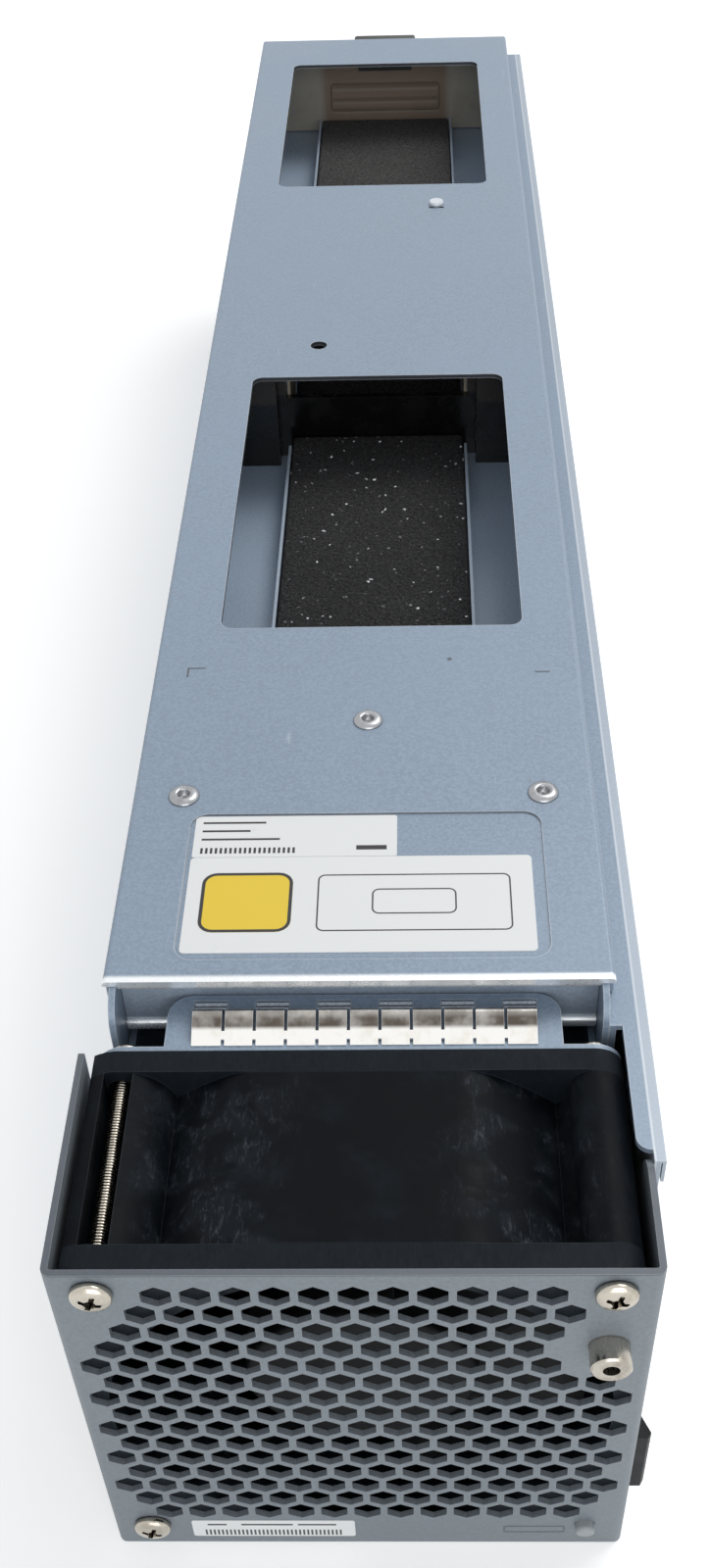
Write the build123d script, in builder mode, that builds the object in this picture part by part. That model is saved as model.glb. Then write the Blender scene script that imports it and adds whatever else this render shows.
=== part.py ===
"""Storage fan module: a folded steel duct with an 80 mm axial fan behind a honeycomb front.

Millimetres. X runs to the right seen from the front, Y from the front to the rear, Z up.
The origin is on the underside, below the middle of the grille and at half the depth.
"""

import os
from math import cos, radians, sin, sqrt

from build123d import *

# Whole module
sheet = 1.0
module_depth = 456.0
fit_gap = 0.1

# Fan frame, a standard 80 x 80 x 38 mm size
fan_size = 80.0
fan_depth = 38.0
fan_hole_inset = 4.25
fan_hole_radius = 2.15
fan_flange = 4.0
fan_corner_radius = 4.5
fan_bore_margin = 2.0
fan_barrel_wall = 2.3
fan_crown_rise = 3.6
fan_crown_margin = 9.6
fan_crown_blend = 12.0
fan_boss_radius = 4.2
fan_open_boss_radius = 8.5
fan_open_boss_drop = 4.2
fan_web = 3.0
fan_floor_gap = 2.6

# Honeycomb front
hex_pitches_across_fan = 14.76
hex_web = 1.09
grille_rise = 1.8
# First and last hole of each row from the top, in pitches from the middle column
grille_rows = (
    (-5, 5), (-5.5, 5.5), (-6, 5), (-6.5, 4.5), (-7, 5), (-6.5, 6.5), (-7, 7), (-6.5, 6.5),
    (-7, 7), (-6.5, 6.5), (-7, 7), (-6.5, 6.5), (-7, 7), (-6.5, 6.5), (-6, 6),
)
bezel_side_gap = 1.3
bezel_left_reach = 0.4
bezel_right_depth = 21.1
bezel_corner_radius = 5.0
bezel_bend_radius = 1.4
bezel_foot_depth = 15.4
bezel_tab_depth = 12.0
bezel_tab_width = 22.0

# Fasteners of the fan
screw_radius = 1.45
screw_head_radius = 3.0
screw_head_height = 2.0
screw_clearance_radius = 1.7
screw_tip = 0.4
nut_radius = 2.5
nut_height = 1.5
nut_bore_radius = 1.5

# Threaded standoff on the front
standoff_radius = 3.0
standoff_length = 3.9
standoff_drop = 14.35
standoff_spigot_radius = 2.1
thread_bore_radius = 1.25

# Status light
lens_radius = 1.6
lens_reach = 1.6
lens_collar_radius = 2.0
lens_hole_radius = 1.7
led_radius = 1.3
led_board_size = 7.0
led_board_shift = 1.6
board_thickness = 1.0

# Fan rotor and motor
hub_radius = 18.0
hub_wall = 1.6
hub_front = 5.5
hub_length = 22.0
blade_count = 7
blade_tip_gap = 0.8
blade_front = 7.0
root_chord = 25.0
root_stagger = 50.0
tip_chord = 33.0
tip_stagger = 28.0
blade_thickness = 1.7
blade_camber = 2.4
yoke_wall = 1.0
magnet_wall = 2.6
air_gap = 0.4
stator_poles = 4
stator_length = 10.0
stator_pole_width = 6.0
stator_shoe = 2.0
shaft_radius = 1.5
running_clearance = 0.04
bearing_outer_radius = 4.0
bearing_width = 3.0
bearing_tube_wall = 0.9
motor_base_radius = 18.0
motor_base_thickness = 2.0
strut_count = 4
strut_width = 3.4
strut_depth = 4.5
clip_radius = 2.7
clip_thickness = 0.5

# Bracket behind the fan, with its tongue and the contact strip
tongue_setback = 9.75
tongue_offset = 0.75
tongue_reach = 11.2
tongue_corner_radius = 4.0
tongue_slot_length = 5.2
tongue_slot_width = 1.7
bracket_opening_step = 1.0
bracket_flange_length = 20.0
bracket_flange_setback = 10.0
finger_pitch = 4.77
finger_strip_width = 7.0
finger_strip_rise = 2.3
finger_crown = 0.74
finger_crown_radius = 1.0
finger_thickness = 0.25
finger_slit = 0.5
finger_slit_start = 2.0
finger_notch = 0.8
finger_strip_offset = 0.9

# Duct
cover_rise = 5.6
cover_setback = 3.05
cover_step = 8.9
cover_hem = 2.2
cover_edge_radius = 0.8
cover_side_drop = 8.0
cover_shoulder_gap = 0.4
wall_step = 4.3
wall_corner_radius = 5.0
floor_front = 15.6
side_channel_front = 18.4
side_channel_standout = 1.1
shoulder_nose = 20.4
shoulder_nose_radius = 2.2
hem_width = 0.7
hem_height = 5.0
shoulder_lip = 6.0

# Windows, label recess and small features of the cover
window_margin = 10.55
window_offset = 0.6
window_radius = 2.4
window_1 = (137.9, 234.6)
window_2_length = 92.8
window_2_end = 22.0
recess_margin = 10.0
recess_offset = 0.5
recess_start = 4.6
recess_length = 33.1
recess_depth = 0.3
recess_radius = 3.0
cover_rivet_inset = 8.75
cover_rivet_rows = (109.9, 90.2)
rivet_radius = 1.2
rivet_head_radius = 2.65
rivet_head_height = 0.8
rivet_tail = 1.6
rivet_mandrel_radius = 0.7
foot_rivet_head = 0.4
locating_hole_at = (-13.5, 249.7)
locating_hole_radius = 1.95
pip_offset = 15.3
pip_end = 127.9
pip_radius = 2.1
pip_height = 0.9
pip_slit = 0.9

# Inside the duct
cross_member_setback = 2.8
cross_member_drop = 13.9
cross_member_roll_radius = 1.2
cross_member_flange = 9.0
shelf_depth = 28.2
shelf_front = 120.0
shelf_flange = 8.0
pad_side_margin = 18.55
pad_height = 4.9
pad_tray_wall = 0.6
pad_gap = 0.3
pad_start = 124.0
pad_end = 6.7
baffle_front = 243.0
baffle_thickness = 2.0
baffle_drop = 4.2
baffle_recess = 4.6
baffle_recess_drop = 12.6
upright_drop = 3.6
upright_length = 17.0
hanger_span = (84.0, 118.0)
hanger_margin = 4.25
hanger_foot = 12.0
side_rivet_start = 30.0
side_rivet_end = 36.0
side_rivet_count = 4

# Rear
rear_slot_gap = 6.0
rear_slot_width = 3.2
rear_slot_pitch = 6.5
rear_slot_columns = 2
rear_slot_start = 10.0
rear_flange_length = 8.0
liner_thickness = 0.8
liner_bottom_gap = 0.3
liner_pad_size = (36.0, 9.0)
liner_pad_drop = 17.3
liner_pad_rise = 0.8
connector_width = 20.0
connector_height = 7.0
connector_drop = 6.7
connector_reach = 13.0
connector_flange = 1.5
connector_tail = 3.0
connector_tail_setback = 1.4
connector_wall = 1.2
contact_count = 8
contact_pitch = 1.9
contact_width = 0.7

# Release latch in the lower right corner of the fan
latch_bottom = 9.8
latch_top = 22.0
latch_thickness = 2.6
latch_wall_gap = 0.3
latch_finger_reach = 4.8
latch_finger_front = 5.6
latch_finger_rear = 17.0
latch_finger_overhang = 3.4
latch_finger_underhang = 0.9
latch_pivot_step = 7.5
latch_hub_radius = 1.7
latch_pin_radius = 1.0
latch_window_margin = 0.4
latch_swing_room = 1.0
latch_slot_height = 4.4
latch_ear_gap = 0.2
latch_bracket_length = 6.0
latch_ear_reach = 3.8
spring_wire_radius = 0.3
spring_radius = 1.45
spring_turns = 3.5
spring_pitch = 0.85
spring_long_leg = 11.0
spring_short_leg = 2.8

# Worked out from the sizes above
front_y = -module_depth / 2
rear_y = module_depth / 2
fan_front = front_y + sheet
fan_rear = fan_front + fan_depth
fan_z = fan_floor_gap + fan_size / 2
fan_bore_radius = fan_size / 2 - fan_bore_margin
fan_barrel_radius = fan_bore_radius + fan_barrel_wall
hole_offset = fan_size / 2 - fan_hole_inset
hex_pitch = fan_size / hex_pitches_across_fan
row_pitch = hex_pitch * sqrt(3) / 2
grille_height = fan_z + grille_rise
standoff_height = fan_z + hole_offset - standoff_drop
bezel_height = fan_floor_gap + fan_size
bezel_half = fan_size / 2 + bezel_side_gap + sheet
cover_top = bezel_height + cover_rise
cover_half = bezel_half - cover_setback
cover_front = fan_depth + sheet + cover_step
recess_front = front_y + cover_front + recess_start
wall_front = fan_depth + sheet + wall_step
shoulder_front = wall_front + fit_gap
wall_outer = cover_half - sheet - fit_gap
wall_inner = wall_outer - sheet
wall_top = cover_top - sheet - fit_gap
cover_rivets_at = (
    (recess_offset, cover_rivet_rows[0]),
    (cover_rivet_inset - cover_half, cover_rivet_rows[1]),
    (cover_half - cover_rivet_inset, cover_rivet_rows[1]),
)
window_2_rear = module_depth - window_2_end
window_2 = (window_2_rear - window_2_length, window_2_rear)
blade_tip_radius = fan_bore_radius - blade_tip_gap
hub_y = fan_front + hub_front
hub_rear = hub_y + hub_length
cavity_radius = hub_radius - hub_wall
magnet_radius = cavity_radius - yoke_wall
stator_radius = magnet_radius - magnet_wall - air_gap
tube_radius = bearing_outer_radius + bearing_tube_wall
base_y = fan_rear - strut_depth
tube_front = hub_y + hub_wall + yoke_wall + 2.0
bracket_rear = fan_rear + fit_gap + sheet
bracket_top = bezel_height - 0.3
tongue_width = fan_size - 2 * tongue_setback
finger_count = int(tongue_width / finger_pitch) - 1
screw_corners = ((-hole_offset, hole_offset), (hole_offset, hole_offset), (-hole_offset, -hole_offset))
light_corner = (hole_offset, fan_z - hole_offset)
side_channel_outer = bezel_half + side_channel_standout
latch_middle = (latch_bottom + latch_top) / 2
latch_outer = bezel_half - sheet - latch_wall_gap
latch_inner = latch_outer - latch_thickness
latch_pivot_x = latch_inner + spring_radius - spring_wire_radius
latch_pivot_depth = fan_depth + sheet - latch_pivot_step
finger_low = latch_bottom - latch_finger_underhang
finger_high = latch_top + latch_finger_overhang
shelf_top = cover_top - shelf_depth
shelf_bottom = shelf_top - sheet
side_rivet_step = (module_depth - side_rivet_end - shelf_front - side_rivet_start) / (side_rivet_count - 1)
side_rivets_at = [shelf_front + side_rivet_start + side_rivet_step * step for step in range(side_rivet_count)]
foot_rivets_at = (-bezel_half / 2, bezel_half / 2)
foot_rivet_y = front_y + bezel_foot_depth + bezel_tab_depth / 2


def front_plane(y: float) -> Plane:
    """Plane at depth y, drawn as seen from the front: x to the right, z up."""
    return Plane.XZ.offset(-y)


def side_plane(x: float) -> Plane:
    """Plane at x, drawn with y to the right and z up."""
    return Plane.YZ.offset(x)


os.makedirs("parts", exist_ok=True)

# Front bezel: honeycomb face, two side walls of unequal depth and a joggled foot
with BuildPart() as front_bezel:
    with BuildSketch() as bezel_plan:
        with BuildLine():
            FilletPolyline(
                (-bezel_half, fan_rear - bezel_left_reach),
                (-bezel_half, front_y),
                (bezel_half, front_y),
                (bezel_half, front_y + bezel_right_depth),
                radius=bezel_bend_radius,
            )
            offset(amount=-sheet, side=Side.LEFT)
        make_face()
    extrude(amount=bezel_height)
    with BuildSketch(Plane.XY):
        with Locations((0, front_y + (sheet + bezel_foot_depth) / 2)):
            Rectangle(2 * (bezel_half - sheet), bezel_foot_depth - sheet)
    extrude(amount=sheet)
    with BuildSketch(Plane.XY.offset(sheet)):
        with Locations([(x, front_y + bezel_foot_depth - sheet + bezel_tab_depth / 2) for x in foot_rivets_at]):
            Rectangle(bezel_tab_width, bezel_tab_depth)
    extrude(amount=sheet)
    with BuildSketch(Plane.XY.offset(sheet)):
        with Locations([(x, foot_rivet_y) for x in foot_rivets_at]):
            Circle(rivet_radius)
    extrude(amount=sheet, mode=Mode.SUBTRACT)
    with BuildSketch(front_plane(front_y)):
        for row, (first, last) in enumerate(grille_rows):
            height = grille_height + (len(grille_rows) // 2 - row) * row_pitch
            count = round(last - first) + 1
            with Locations([((first + step) * hex_pitch, height) for step in range(count)]):
                RegularPolygon((hex_pitch - hex_web) / 2, 6, major_radius=False, rotation=30)
        with Locations([(x, fan_z + z) for x, z in screw_corners]):
            Circle(screw_clearance_radius)
        with Locations(light_corner):
            Circle(lens_hole_radius)
        with Locations((hole_offset, standoff_height)):
            Circle(standoff_spigot_radius)
    extrude(amount=-sheet, mode=Mode.SUBTRACT)
    with BuildSketch(side_plane(bezel_half)):
        window_front = front_y + latch_finger_front - latch_swing_room
        window_rear = front_y + latch_finger_rear + latch_window_margin
        with Locations(((window_front + window_rear) / 2, (finger_low + finger_high) / 2)):
            Rectangle(window_rear - window_front, finger_high - finger_low + 2 * latch_window_margin)
    extrude(amount=-sheet, mode=Mode.SUBTRACT)
    with BuildSketch(side_plane(bezel_half)):
        with BuildLine():
            corner = (front_y + bezel_right_depth, bezel_height)
            inner = (corner[0] - bezel_corner_radius, corner[1])
            lower = (corner[0], corner[1] - bezel_corner_radius)
            Line(inner, corner)
            Line(corner, lower)
            RadiusArc(lower, inner, -bezel_corner_radius)
        make_face()
    extrude(amount=-sheet, mode=Mode.SUBTRACT)
front_bezel.part.label = "front_bezel"
export_step(front_bezel.part, "parts/front_bezel.step")

# Threaded standoff, swaged into the bezel
with BuildPart() as front_standoff:
    with BuildSketch(front_plane(front_y)):
        with Locations((hole_offset, standoff_height)):
            Circle(standoff_radius)
    extrude(amount=standoff_length)
    chamfer(front_standoff.edges().filter_by(GeomType.CIRCLE).sort_by(Axis.Y)[0], 0.3)
    with BuildSketch(front_plane(front_y)):
        with Locations((hole_offset, standoff_height)):
            Circle(standoff_spigot_radius)
    extrude(amount=-sheet)
    with BuildSketch(front_plane(front_y - standoff_length)):
        with Locations((hole_offset, standoff_height)):
            Circle(thread_bore_radius)
    extrude(amount=-(standoff_length + sheet), mode=Mode.SUBTRACT)
front_standoff.part.label = "front_standoff"
export_step(front_standoff.part, "parts/front_standoff.step")

# Three long pan-head screws through bezel, fan and bracket
with BuildPart() as fan_screws:
    with BuildSketch(front_plane(front_y)):
        with Locations([(x, fan_z + z) for x, z in screw_corners]):
            Circle(screw_head_radius)
    extrude(amount=screw_head_height)
    head_rims = fan_screws.edges().filter_by(GeomType.CIRCLE).group_by(Axis.Y)[0]
    fillet(head_rims, screw_head_height * 0.75)
    with BuildSketch(front_plane(front_y - screw_head_height)):
        with Locations([(x, fan_z + z) for x, z in screw_corners]):
            Rectangle(screw_head_radius, 0.7)
            Rectangle(0.7, screw_head_radius)
    extrude(amount=-screw_head_height * 0.6, mode=Mode.SUBTRACT)
    with BuildSketch(front_plane(front_y)):
        with Locations([(x, fan_z + z) for x, z in screw_corners]):
            Circle(screw_radius)
    extrude(amount=-(bracket_rear + nut_height + screw_tip - front_y))
fan_screws.part.label = "fan_screws"
export_step(fan_screws.part, "parts/fan_screws.step")

# Fan frame: two square flanges, a round barrel, struts, motor base and bearing tube
with BuildPart() as fan_housing:
    with BuildSketch(front_plane(fan_front)):
        with Locations((0, fan_z)):
            RectangleRounded(fan_size, fan_size, fan_corner_radius)
            Circle(fan_bore_radius, mode=Mode.SUBTRACT)
    extrude(amount=-fan_flange)
    with BuildSketch(front_plane(fan_rear)):
        with Locations((0, fan_z)):
            RectangleRounded(fan_size, fan_size, fan_corner_radius)
            Circle(fan_bore_radius, mode=Mode.SUBTRACT)
    extrude(amount=fan_flange)
    with BuildSketch(front_plane(fan_front)) as barrel:
        with Locations((0, fan_z)):
            Circle(fan_size / 2 + fan_crown_rise)
            Rectangle(fan_size - 2 * fan_crown_margin, fan_size, mode=Mode.INTERSECT)
            creases = [barrel.vertices().group_by(Axis.Y)[end].sort_by(Axis.X) for end in (0, -1)]
            fillet([corner for row in creases for corner in (row[0], row[-1])], fan_crown_blend)
            Circle(fan_barrel_radius)
        with Locations((-hole_offset, fan_z + hole_offset - fan_open_boss_drop)):
            Circle(fan_open_boss_radius)
        with Locations(Location((0, fan_z), 45)):
            Rectangle(2 * sqrt(2) * hole_offset, fan_web)
        with Locations((hole_offset, fan_z + hole_offset), (-hole_offset, fan_z - hole_offset)):
            Circle(fan_boss_radius)
        with Locations((0, fan_z)):
            Rectangle(fan_size, fan_size, mode=Mode.INTERSECT)
            Circle(fan_bore_radius, mode=Mode.SUBTRACT)
    extrude(amount=-fan_depth)
    with BuildSketch(front_plane(fan_rear)):
        with Locations((0, fan_z)):
            Circle(motor_base_radius)
            with PolarLocations((motor_base_radius + fan_bore_radius) / 2, strut_count, start_angle=45):
                Rectangle(fan_bore_radius - motor_base_radius + 4, strut_width)
    extrude(amount=strut_depth)
    with BuildSketch(front_plane(base_y)):
        with Locations((0, fan_z)):
            Circle(motor_base_radius - hub_wall)
    extrude(amount=-(strut_depth - motor_base_thickness), mode=Mode.SUBTRACT)
    with BuildSketch(front_plane(fan_rear - motor_base_thickness)):
        with Locations((0, fan_z)):
            Circle(tube_radius)
    extrude(amount=fan_rear - motor_base_thickness - tube_front)
    with BuildSketch(front_plane(tube_front)):
        with Locations((0, fan_z)):
            Circle(bearing_outer_radius)
    extrude(amount=-(fan_rear - motor_base_thickness - tube_front), mode=Mode.SUBTRACT)
    with BuildSketch(front_plane(fan_front)):
        with Locations([(x, fan_z + z) for x in (-hole_offset, hole_offset) for z in (-hole_offset, hole_offset)]):
            Circle(fan_hole_radius)
    extrude(amount=-fan_depth, mode=Mode.SUBTRACT)
    with BuildSketch(front_plane(fan_front + fan_flange)):
        with Locations((-hole_offset, fan_z + hole_offset + fan_hole_inset / 2)):
            Rectangle(2 * fan_hole_radius, fan_hole_inset)
    extrude(amount=-(fan_depth - 2 * fan_flange), mode=Mode.SUBTRACT)
fan_housing.part.label = "fan_housing"
export_step(fan_housing.part, "parts/fan_housing.step")


# One twisted blade about the Y axis, later repeated round the hub
blade_middle = fan_front + blade_front + root_chord * sin(radians(root_stagger)) / 2
with BuildPart() as blade:
    for radius, chord, stagger in (
        (hub_radius * 0.7, root_chord, root_stagger),
        (fan_bore_radius, tip_chord, tip_stagger),
    ):
        along = Vector(sin(radians(stagger)), cos(radians(stagger)))
        across = Vector(along.Y, -along.X)
        middle = Vector(blade_middle, 0)
        leading = middle - along * (chord / 2)
        trailing = middle + along * (chord / 2)
        with BuildSketch(side_plane(radius)):
            with BuildLine():
                ThreePointArc(leading, middle + across * (blade_camber + blade_thickness / 2), trailing)
                ThreePointArc(trailing, middle + across * (blade_camber - blade_thickness / 2), leading)
            make_face()
    loft()

# Impeller: hub cup with its ring of blades, trimmed to the tip radius
with BuildPart() as impeller:
    with BuildSketch(front_plane(hub_y)):
        with Locations((0, fan_z)):
            Circle(hub_radius)
    extrude(amount=-hub_length)
    with Locations([Location((0, 0, fan_z), (0, 360 / blade_count * step, 0)) for step in range(blade_count)]):
        add(blade.part)
    with BuildSketch(front_plane(fan_front)):
        with Locations((0, fan_z)):
            Circle(blade_tip_radius)
    extrude(amount=-fan_depth, mode=Mode.INTERSECT)
    with BuildSketch(front_plane(hub_y + hub_wall)):
        with Locations((0, fan_z)):
            Circle(cavity_radius)
    extrude(amount=-(hub_length - hub_wall), mode=Mode.SUBTRACT)
    nose = impeller.edges().filter_by(GeomType.CIRCLE).sort_by(Axis.Y)[0]
    fillet(nose, 1.2)
impeller.part.label = "impeller"
export_step(impeller.part, "parts/impeller.step")

# Steel yoke pressed into the hub, with the boss that holds the shaft
with BuildPart() as rotor_yoke:
    with BuildSketch(front_plane(hub_y + hub_wall)):
        with Locations((0, fan_z)):
            Circle(cavity_radius)
    extrude(amount=-(hub_length - hub_wall - 1))
    with BuildSketch(front_plane(hub_y + hub_wall + yoke_wall)):
        with Locations((0, fan_z)):
            Circle(magnet_radius)
            Circle(shaft_radius * 2, mode=Mode.SUBTRACT)
    extrude(amount=-hub_length, mode=Mode.SUBTRACT)
    with BuildSketch(front_plane(tube_front - 0.5)):
        with Locations((0, fan_z)):
            Circle(shaft_radius * 2)
    extrude(amount=-hub_length, mode=Mode.SUBTRACT)
    with BuildSketch(front_plane(hub_y + hub_wall)):
        with Locations((0, fan_z)):
            Circle(shaft_radius)
    extrude(amount=-hub_length, mode=Mode.SUBTRACT)
rotor_yoke.part.label = "rotor_yoke"
export_step(rotor_yoke.part, "parts/rotor_yoke.step")

# Ring magnet inside the yoke
magnet_front = hub_y + hub_wall + yoke_wall + 2.5
with BuildPart() as rotor_magnet:
    with BuildSketch(front_plane(magnet_front)):
        with Locations((0, fan_z)):
            Circle(magnet_radius)
            Circle(magnet_radius - magnet_wall, mode=Mode.SUBTRACT)
    extrude(amount=-(hub_rear - 1.5 - magnet_front))
rotor_magnet.part.label = "rotor_magnet"
export_step(rotor_magnet.part, "parts/rotor_magnet.step")

# Shaft, with the groove of its retaining clip
shaft_rear = fan_rear - motor_base_thickness - 0.8
clip_front = shaft_rear - 1.5
with BuildPart() as fan_shaft:
    with BuildSketch(front_plane(hub_y + hub_wall)):
        with Locations((0, fan_z)):
            Circle(shaft_radius)
    extrude(amount=-(shaft_rear - hub_y - hub_wall))
    with BuildSketch(front_plane(clip_front)):
        with Locations((0, fan_z)):
            Circle(shaft_radius)
            Circle(shaft_radius - 0.4, mode=Mode.SUBTRACT)
    extrude(amount=-clip_thickness, mode=Mode.SUBTRACT)
fan_shaft.part.label = "fan_shaft"
export_step(fan_shaft.part, "parts/fan_shaft.step")

with BuildPart() as shaft_clip:
    with BuildSketch(front_plane(clip_front)):
        with Locations((0, fan_z)):
            Circle(clip_radius)
            Circle(shaft_radius - 0.4, mode=Mode.SUBTRACT)
        with Locations((0, fan_z - clip_radius)):
            Rectangle(shaft_radius, clip_radius * 2, mode=Mode.SUBTRACT)
    extrude(amount=-clip_thickness)
shaft_clip.part.label = "shaft_clip"
export_step(shaft_clip.part, "parts/shaft_clip.step")

# Two bearings in the tube of the fan frame
bearing_bore = shaft_radius + running_clearance
bearing_fronts = (tube_front + 0.5, clip_front - bearing_width - 0.3)
with BuildPart() as bearing_front:
    with BuildSketch(front_plane(bearing_fronts[0])):
        with Locations((0, fan_z)):
            Circle(bearing_outer_radius)
            Circle(bearing_bore, mode=Mode.SUBTRACT)
    extrude(amount=-bearing_width)
bearing_front.part.label = "bearing_front"
export_step(bearing_front.part, "parts/bearing_front.step")

with BuildPart() as bearing_rear:
    with BuildSketch(front_plane(bearing_fronts[1])):
        with Locations((0, fan_z)):
            Circle(bearing_outer_radius)
            Circle(bearing_bore, mode=Mode.SUBTRACT)
    extrude(amount=-bearing_width)
bearing_rear.part.label = "bearing_rear"
export_step(bearing_rear.part, "parts/bearing_rear.step")

# Stator: four poles on a ring round the bearing tube, with a coil on each
stator_front = magnet_front + 2.0
pole_inner = tube_radius + 2.0
with BuildPart() as stator_core:
    with BuildSketch(front_plane(stator_front)):
        with Locations((0, fan_z)):
            Circle(stator_radius)
            Circle(stator_radius - stator_shoe, mode=Mode.SUBTRACT)
            with PolarLocations(stator_radius - stator_shoe / 2, stator_poles, start_angle=45):
                Rectangle(stator_shoe * 2, 2.0, mode=Mode.SUBTRACT)
            Circle(pole_inner)
            with PolarLocations((pole_inner + stator_radius - stator_shoe) / 2, stator_poles):
                Rectangle(stator_radius - stator_shoe - pole_inner + 1.5, stator_pole_width / 2)
            Circle(tube_radius, mode=Mode.SUBTRACT)
    extrude(amount=-stator_length)
stator_core.part.label = "stator_core"
export_step(stator_core.part, "parts/stator_core.step")

coil_length = stator_radius - stator_shoe - pole_inner - 1.4
with BuildPart() as stator_coils:
    with BuildSketch(front_plane(stator_front - 1.2)):
        with Locations((0, fan_z)):
            with PolarLocations((pole_inner + stator_radius - stator_shoe) / 2, stator_poles):
                Rectangle(coil_length, stator_pole_width)
    extrude(amount=-(stator_length + 2.4))
    with BuildSketch(front_plane(stator_front)):
        with Locations((0, fan_z)):
            with PolarLocations((pole_inner + stator_radius - stator_shoe) / 2, stator_poles):
                Rectangle(coil_length * 2, stator_pole_width / 2)
    extrude(amount=-stator_length, mode=Mode.SUBTRACT)
stator_coils.part.label = "stator_coils"
export_step(stator_coils.part, "parts/stator_coils.step")

# Driver board in the motor base
with BuildPart() as driver_board:
    with BuildSketch(front_plane(base_y)):
        with Locations((0, fan_z)):
            Circle(motor_base_radius - hub_wall - 0.2)
            Circle(tube_radius, mode=Mode.SUBTRACT)
    extrude(amount=-board_thickness)
driver_board.part.label = "driver_board"
export_step(driver_board.part, "parts/driver_board.step")

# Bracket behind the fan: plate with a round opening, a tongue above and a flange each side
with BuildPart() as fan_bracket:
    with BuildSketch(front_plane(fan_rear + fit_gap)):
        with Locations((0, (fan_floor_gap + bracket_top) / 2)):
            RectangleRounded(fan_size, bracket_top - fan_floor_gap, fan_corner_radius)
        with Locations((0, fan_z)):
            Circle(fan_bore_radius - bracket_opening_step, mode=Mode.SUBTRACT)
        with Locations([(x, fan_z + z) for x, z in screw_corners]):
            Circle(screw_clearance_radius, mode=Mode.SUBTRACT)
    extrude(amount=-sheet)
    with BuildSketch(Plane.XY.offset(bracket_top)):
        with Locations((tongue_offset, bracket_rear + (tongue_reach - sheet) / 2)):
            Rectangle(tongue_width, tongue_reach - sheet)
    extrude(amount=-sheet)
    tongue_ends = fan_bracket.edges().filter_by(Axis.Z).group_by(Axis.Y)[-1]
    fillet(tongue_ends, tongue_corner_radius)
    with BuildSketch(Plane.XY.offset(bracket_top)):
        slot_y = bracket_rear + tongue_reach - 3.0
        with Locations((finger_strip_offset, slot_y)):
            with GridLocations(2 * finger_pitch, 1, (finger_count + 1) // 2, 1):
                Rectangle(tongue_slot_length, tongue_slot_width)
    extrude(amount=-sheet, mode=Mode.SUBTRACT)
    with BuildSketch(front_plane(bracket_rear)):
        with Locations((0, fan_z)):
            with GridLocations(2 * (wall_inner - fit_gap) - sheet, 1, 2, 1):
                Rectangle(sheet, fan_size - 2 * bracket_flange_setback)
    extrude(amount=-bracket_flange_length)
fan_bracket.part.label = "fan_bracket"
export_step(fan_bracket.part, "parts/fan_bracket.step")

with BuildPart() as clinch_nuts:
    with BuildSketch(front_plane(bracket_rear)):
        with Locations([(x, fan_z + z) for x, z in screw_corners]):
            Circle(nut_radius)
            Circle(nut_bore_radius, mode=Mode.SUBTRACT)
    extrude(amount=-nut_height)
clinch_nuts.part.label = "clinch_nuts"
export_step(clinch_nuts.part, "parts/clinch_nuts.step")

# Sprung contact strip on the tongue: slit over its crown from the rear, notched at the front edge
strip_front = bracket_rear
strip_length = finger_pitch * finger_count
with BuildPart() as contact_strip:
    with BuildSketch(side_plane(finger_strip_offset - strip_length / 2)):
        with BuildLine():
            FilletPolyline(
                (strip_front, bracket_top),
                (strip_front + finger_strip_width * finger_crown, bracket_top + finger_strip_rise),
                (strip_front + finger_strip_width, bracket_top),
                radius=finger_crown_radius,
            )
            offset(amount=finger_thickness, side=Side.LEFT)
        make_face()
    extrude(amount=strip_length)
    slit_length = finger_strip_width + finger_thickness - finger_slit_start
    with BuildSketch(Plane.XY.offset(bracket_top - sheet)):
        with Locations((finger_strip_offset, strip_front + finger_slit_start + slit_length / 2)):
            with GridLocations(finger_pitch, 1, finger_count - 1, 1):
                Rectangle(finger_slit, slit_length)
        with Locations((finger_strip_offset, strip_front)):
            with GridLocations(finger_pitch, 1, finger_count - 1, 1):
                Rectangle(finger_slit, 2 * finger_notch)
    extrude(amount=sheet + 2 * finger_strip_rise, mode=Mode.SUBTRACT)
contact_strip.part.label = "contact_strip"
export_step(contact_strip.part, "parts/contact_strip.step")

# Light pipe of the status light, through the bezel and the fan's corner hole
with BuildPart() as status_lens:
    with BuildSketch(front_plane(front_y - lens_reach)):
        with Locations(light_corner):
            Circle(lens_radius)
    extrude(amount=-(lens_reach + sheet))
    fillet(status_lens.edges().filter_by(GeomType.CIRCLE).sort_by(Axis.Y)[0], 0.5)
    with BuildSketch(front_plane(front_y + sheet)):
        with Locations(light_corner):
            Circle(lens_collar_radius)
    extrude(amount=-1.6)
status_lens.part.label = "status_lens"
export_step(status_lens.part, "parts/status_lens.step")

board_front = fan_front + fan_flange
with BuildPart() as led_board:
    with BuildSketch(front_plane(board_front)):
        with Locations((light_corner[0] - led_board_shift, fan_floor_gap + 0.4 + led_board_size / 2 - 0.6)):
            Rectangle(led_board_size, led_board_size - 1.2)
    extrude(amount=-board_thickness)
    with BuildSketch(front_plane(board_front)):
        with Locations(light_corner):
            Circle(led_radius)
    extrude(amount=1.2)
led_board.part.label = "led_board"
export_step(led_board.part, "parts/led_board.step")

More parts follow.
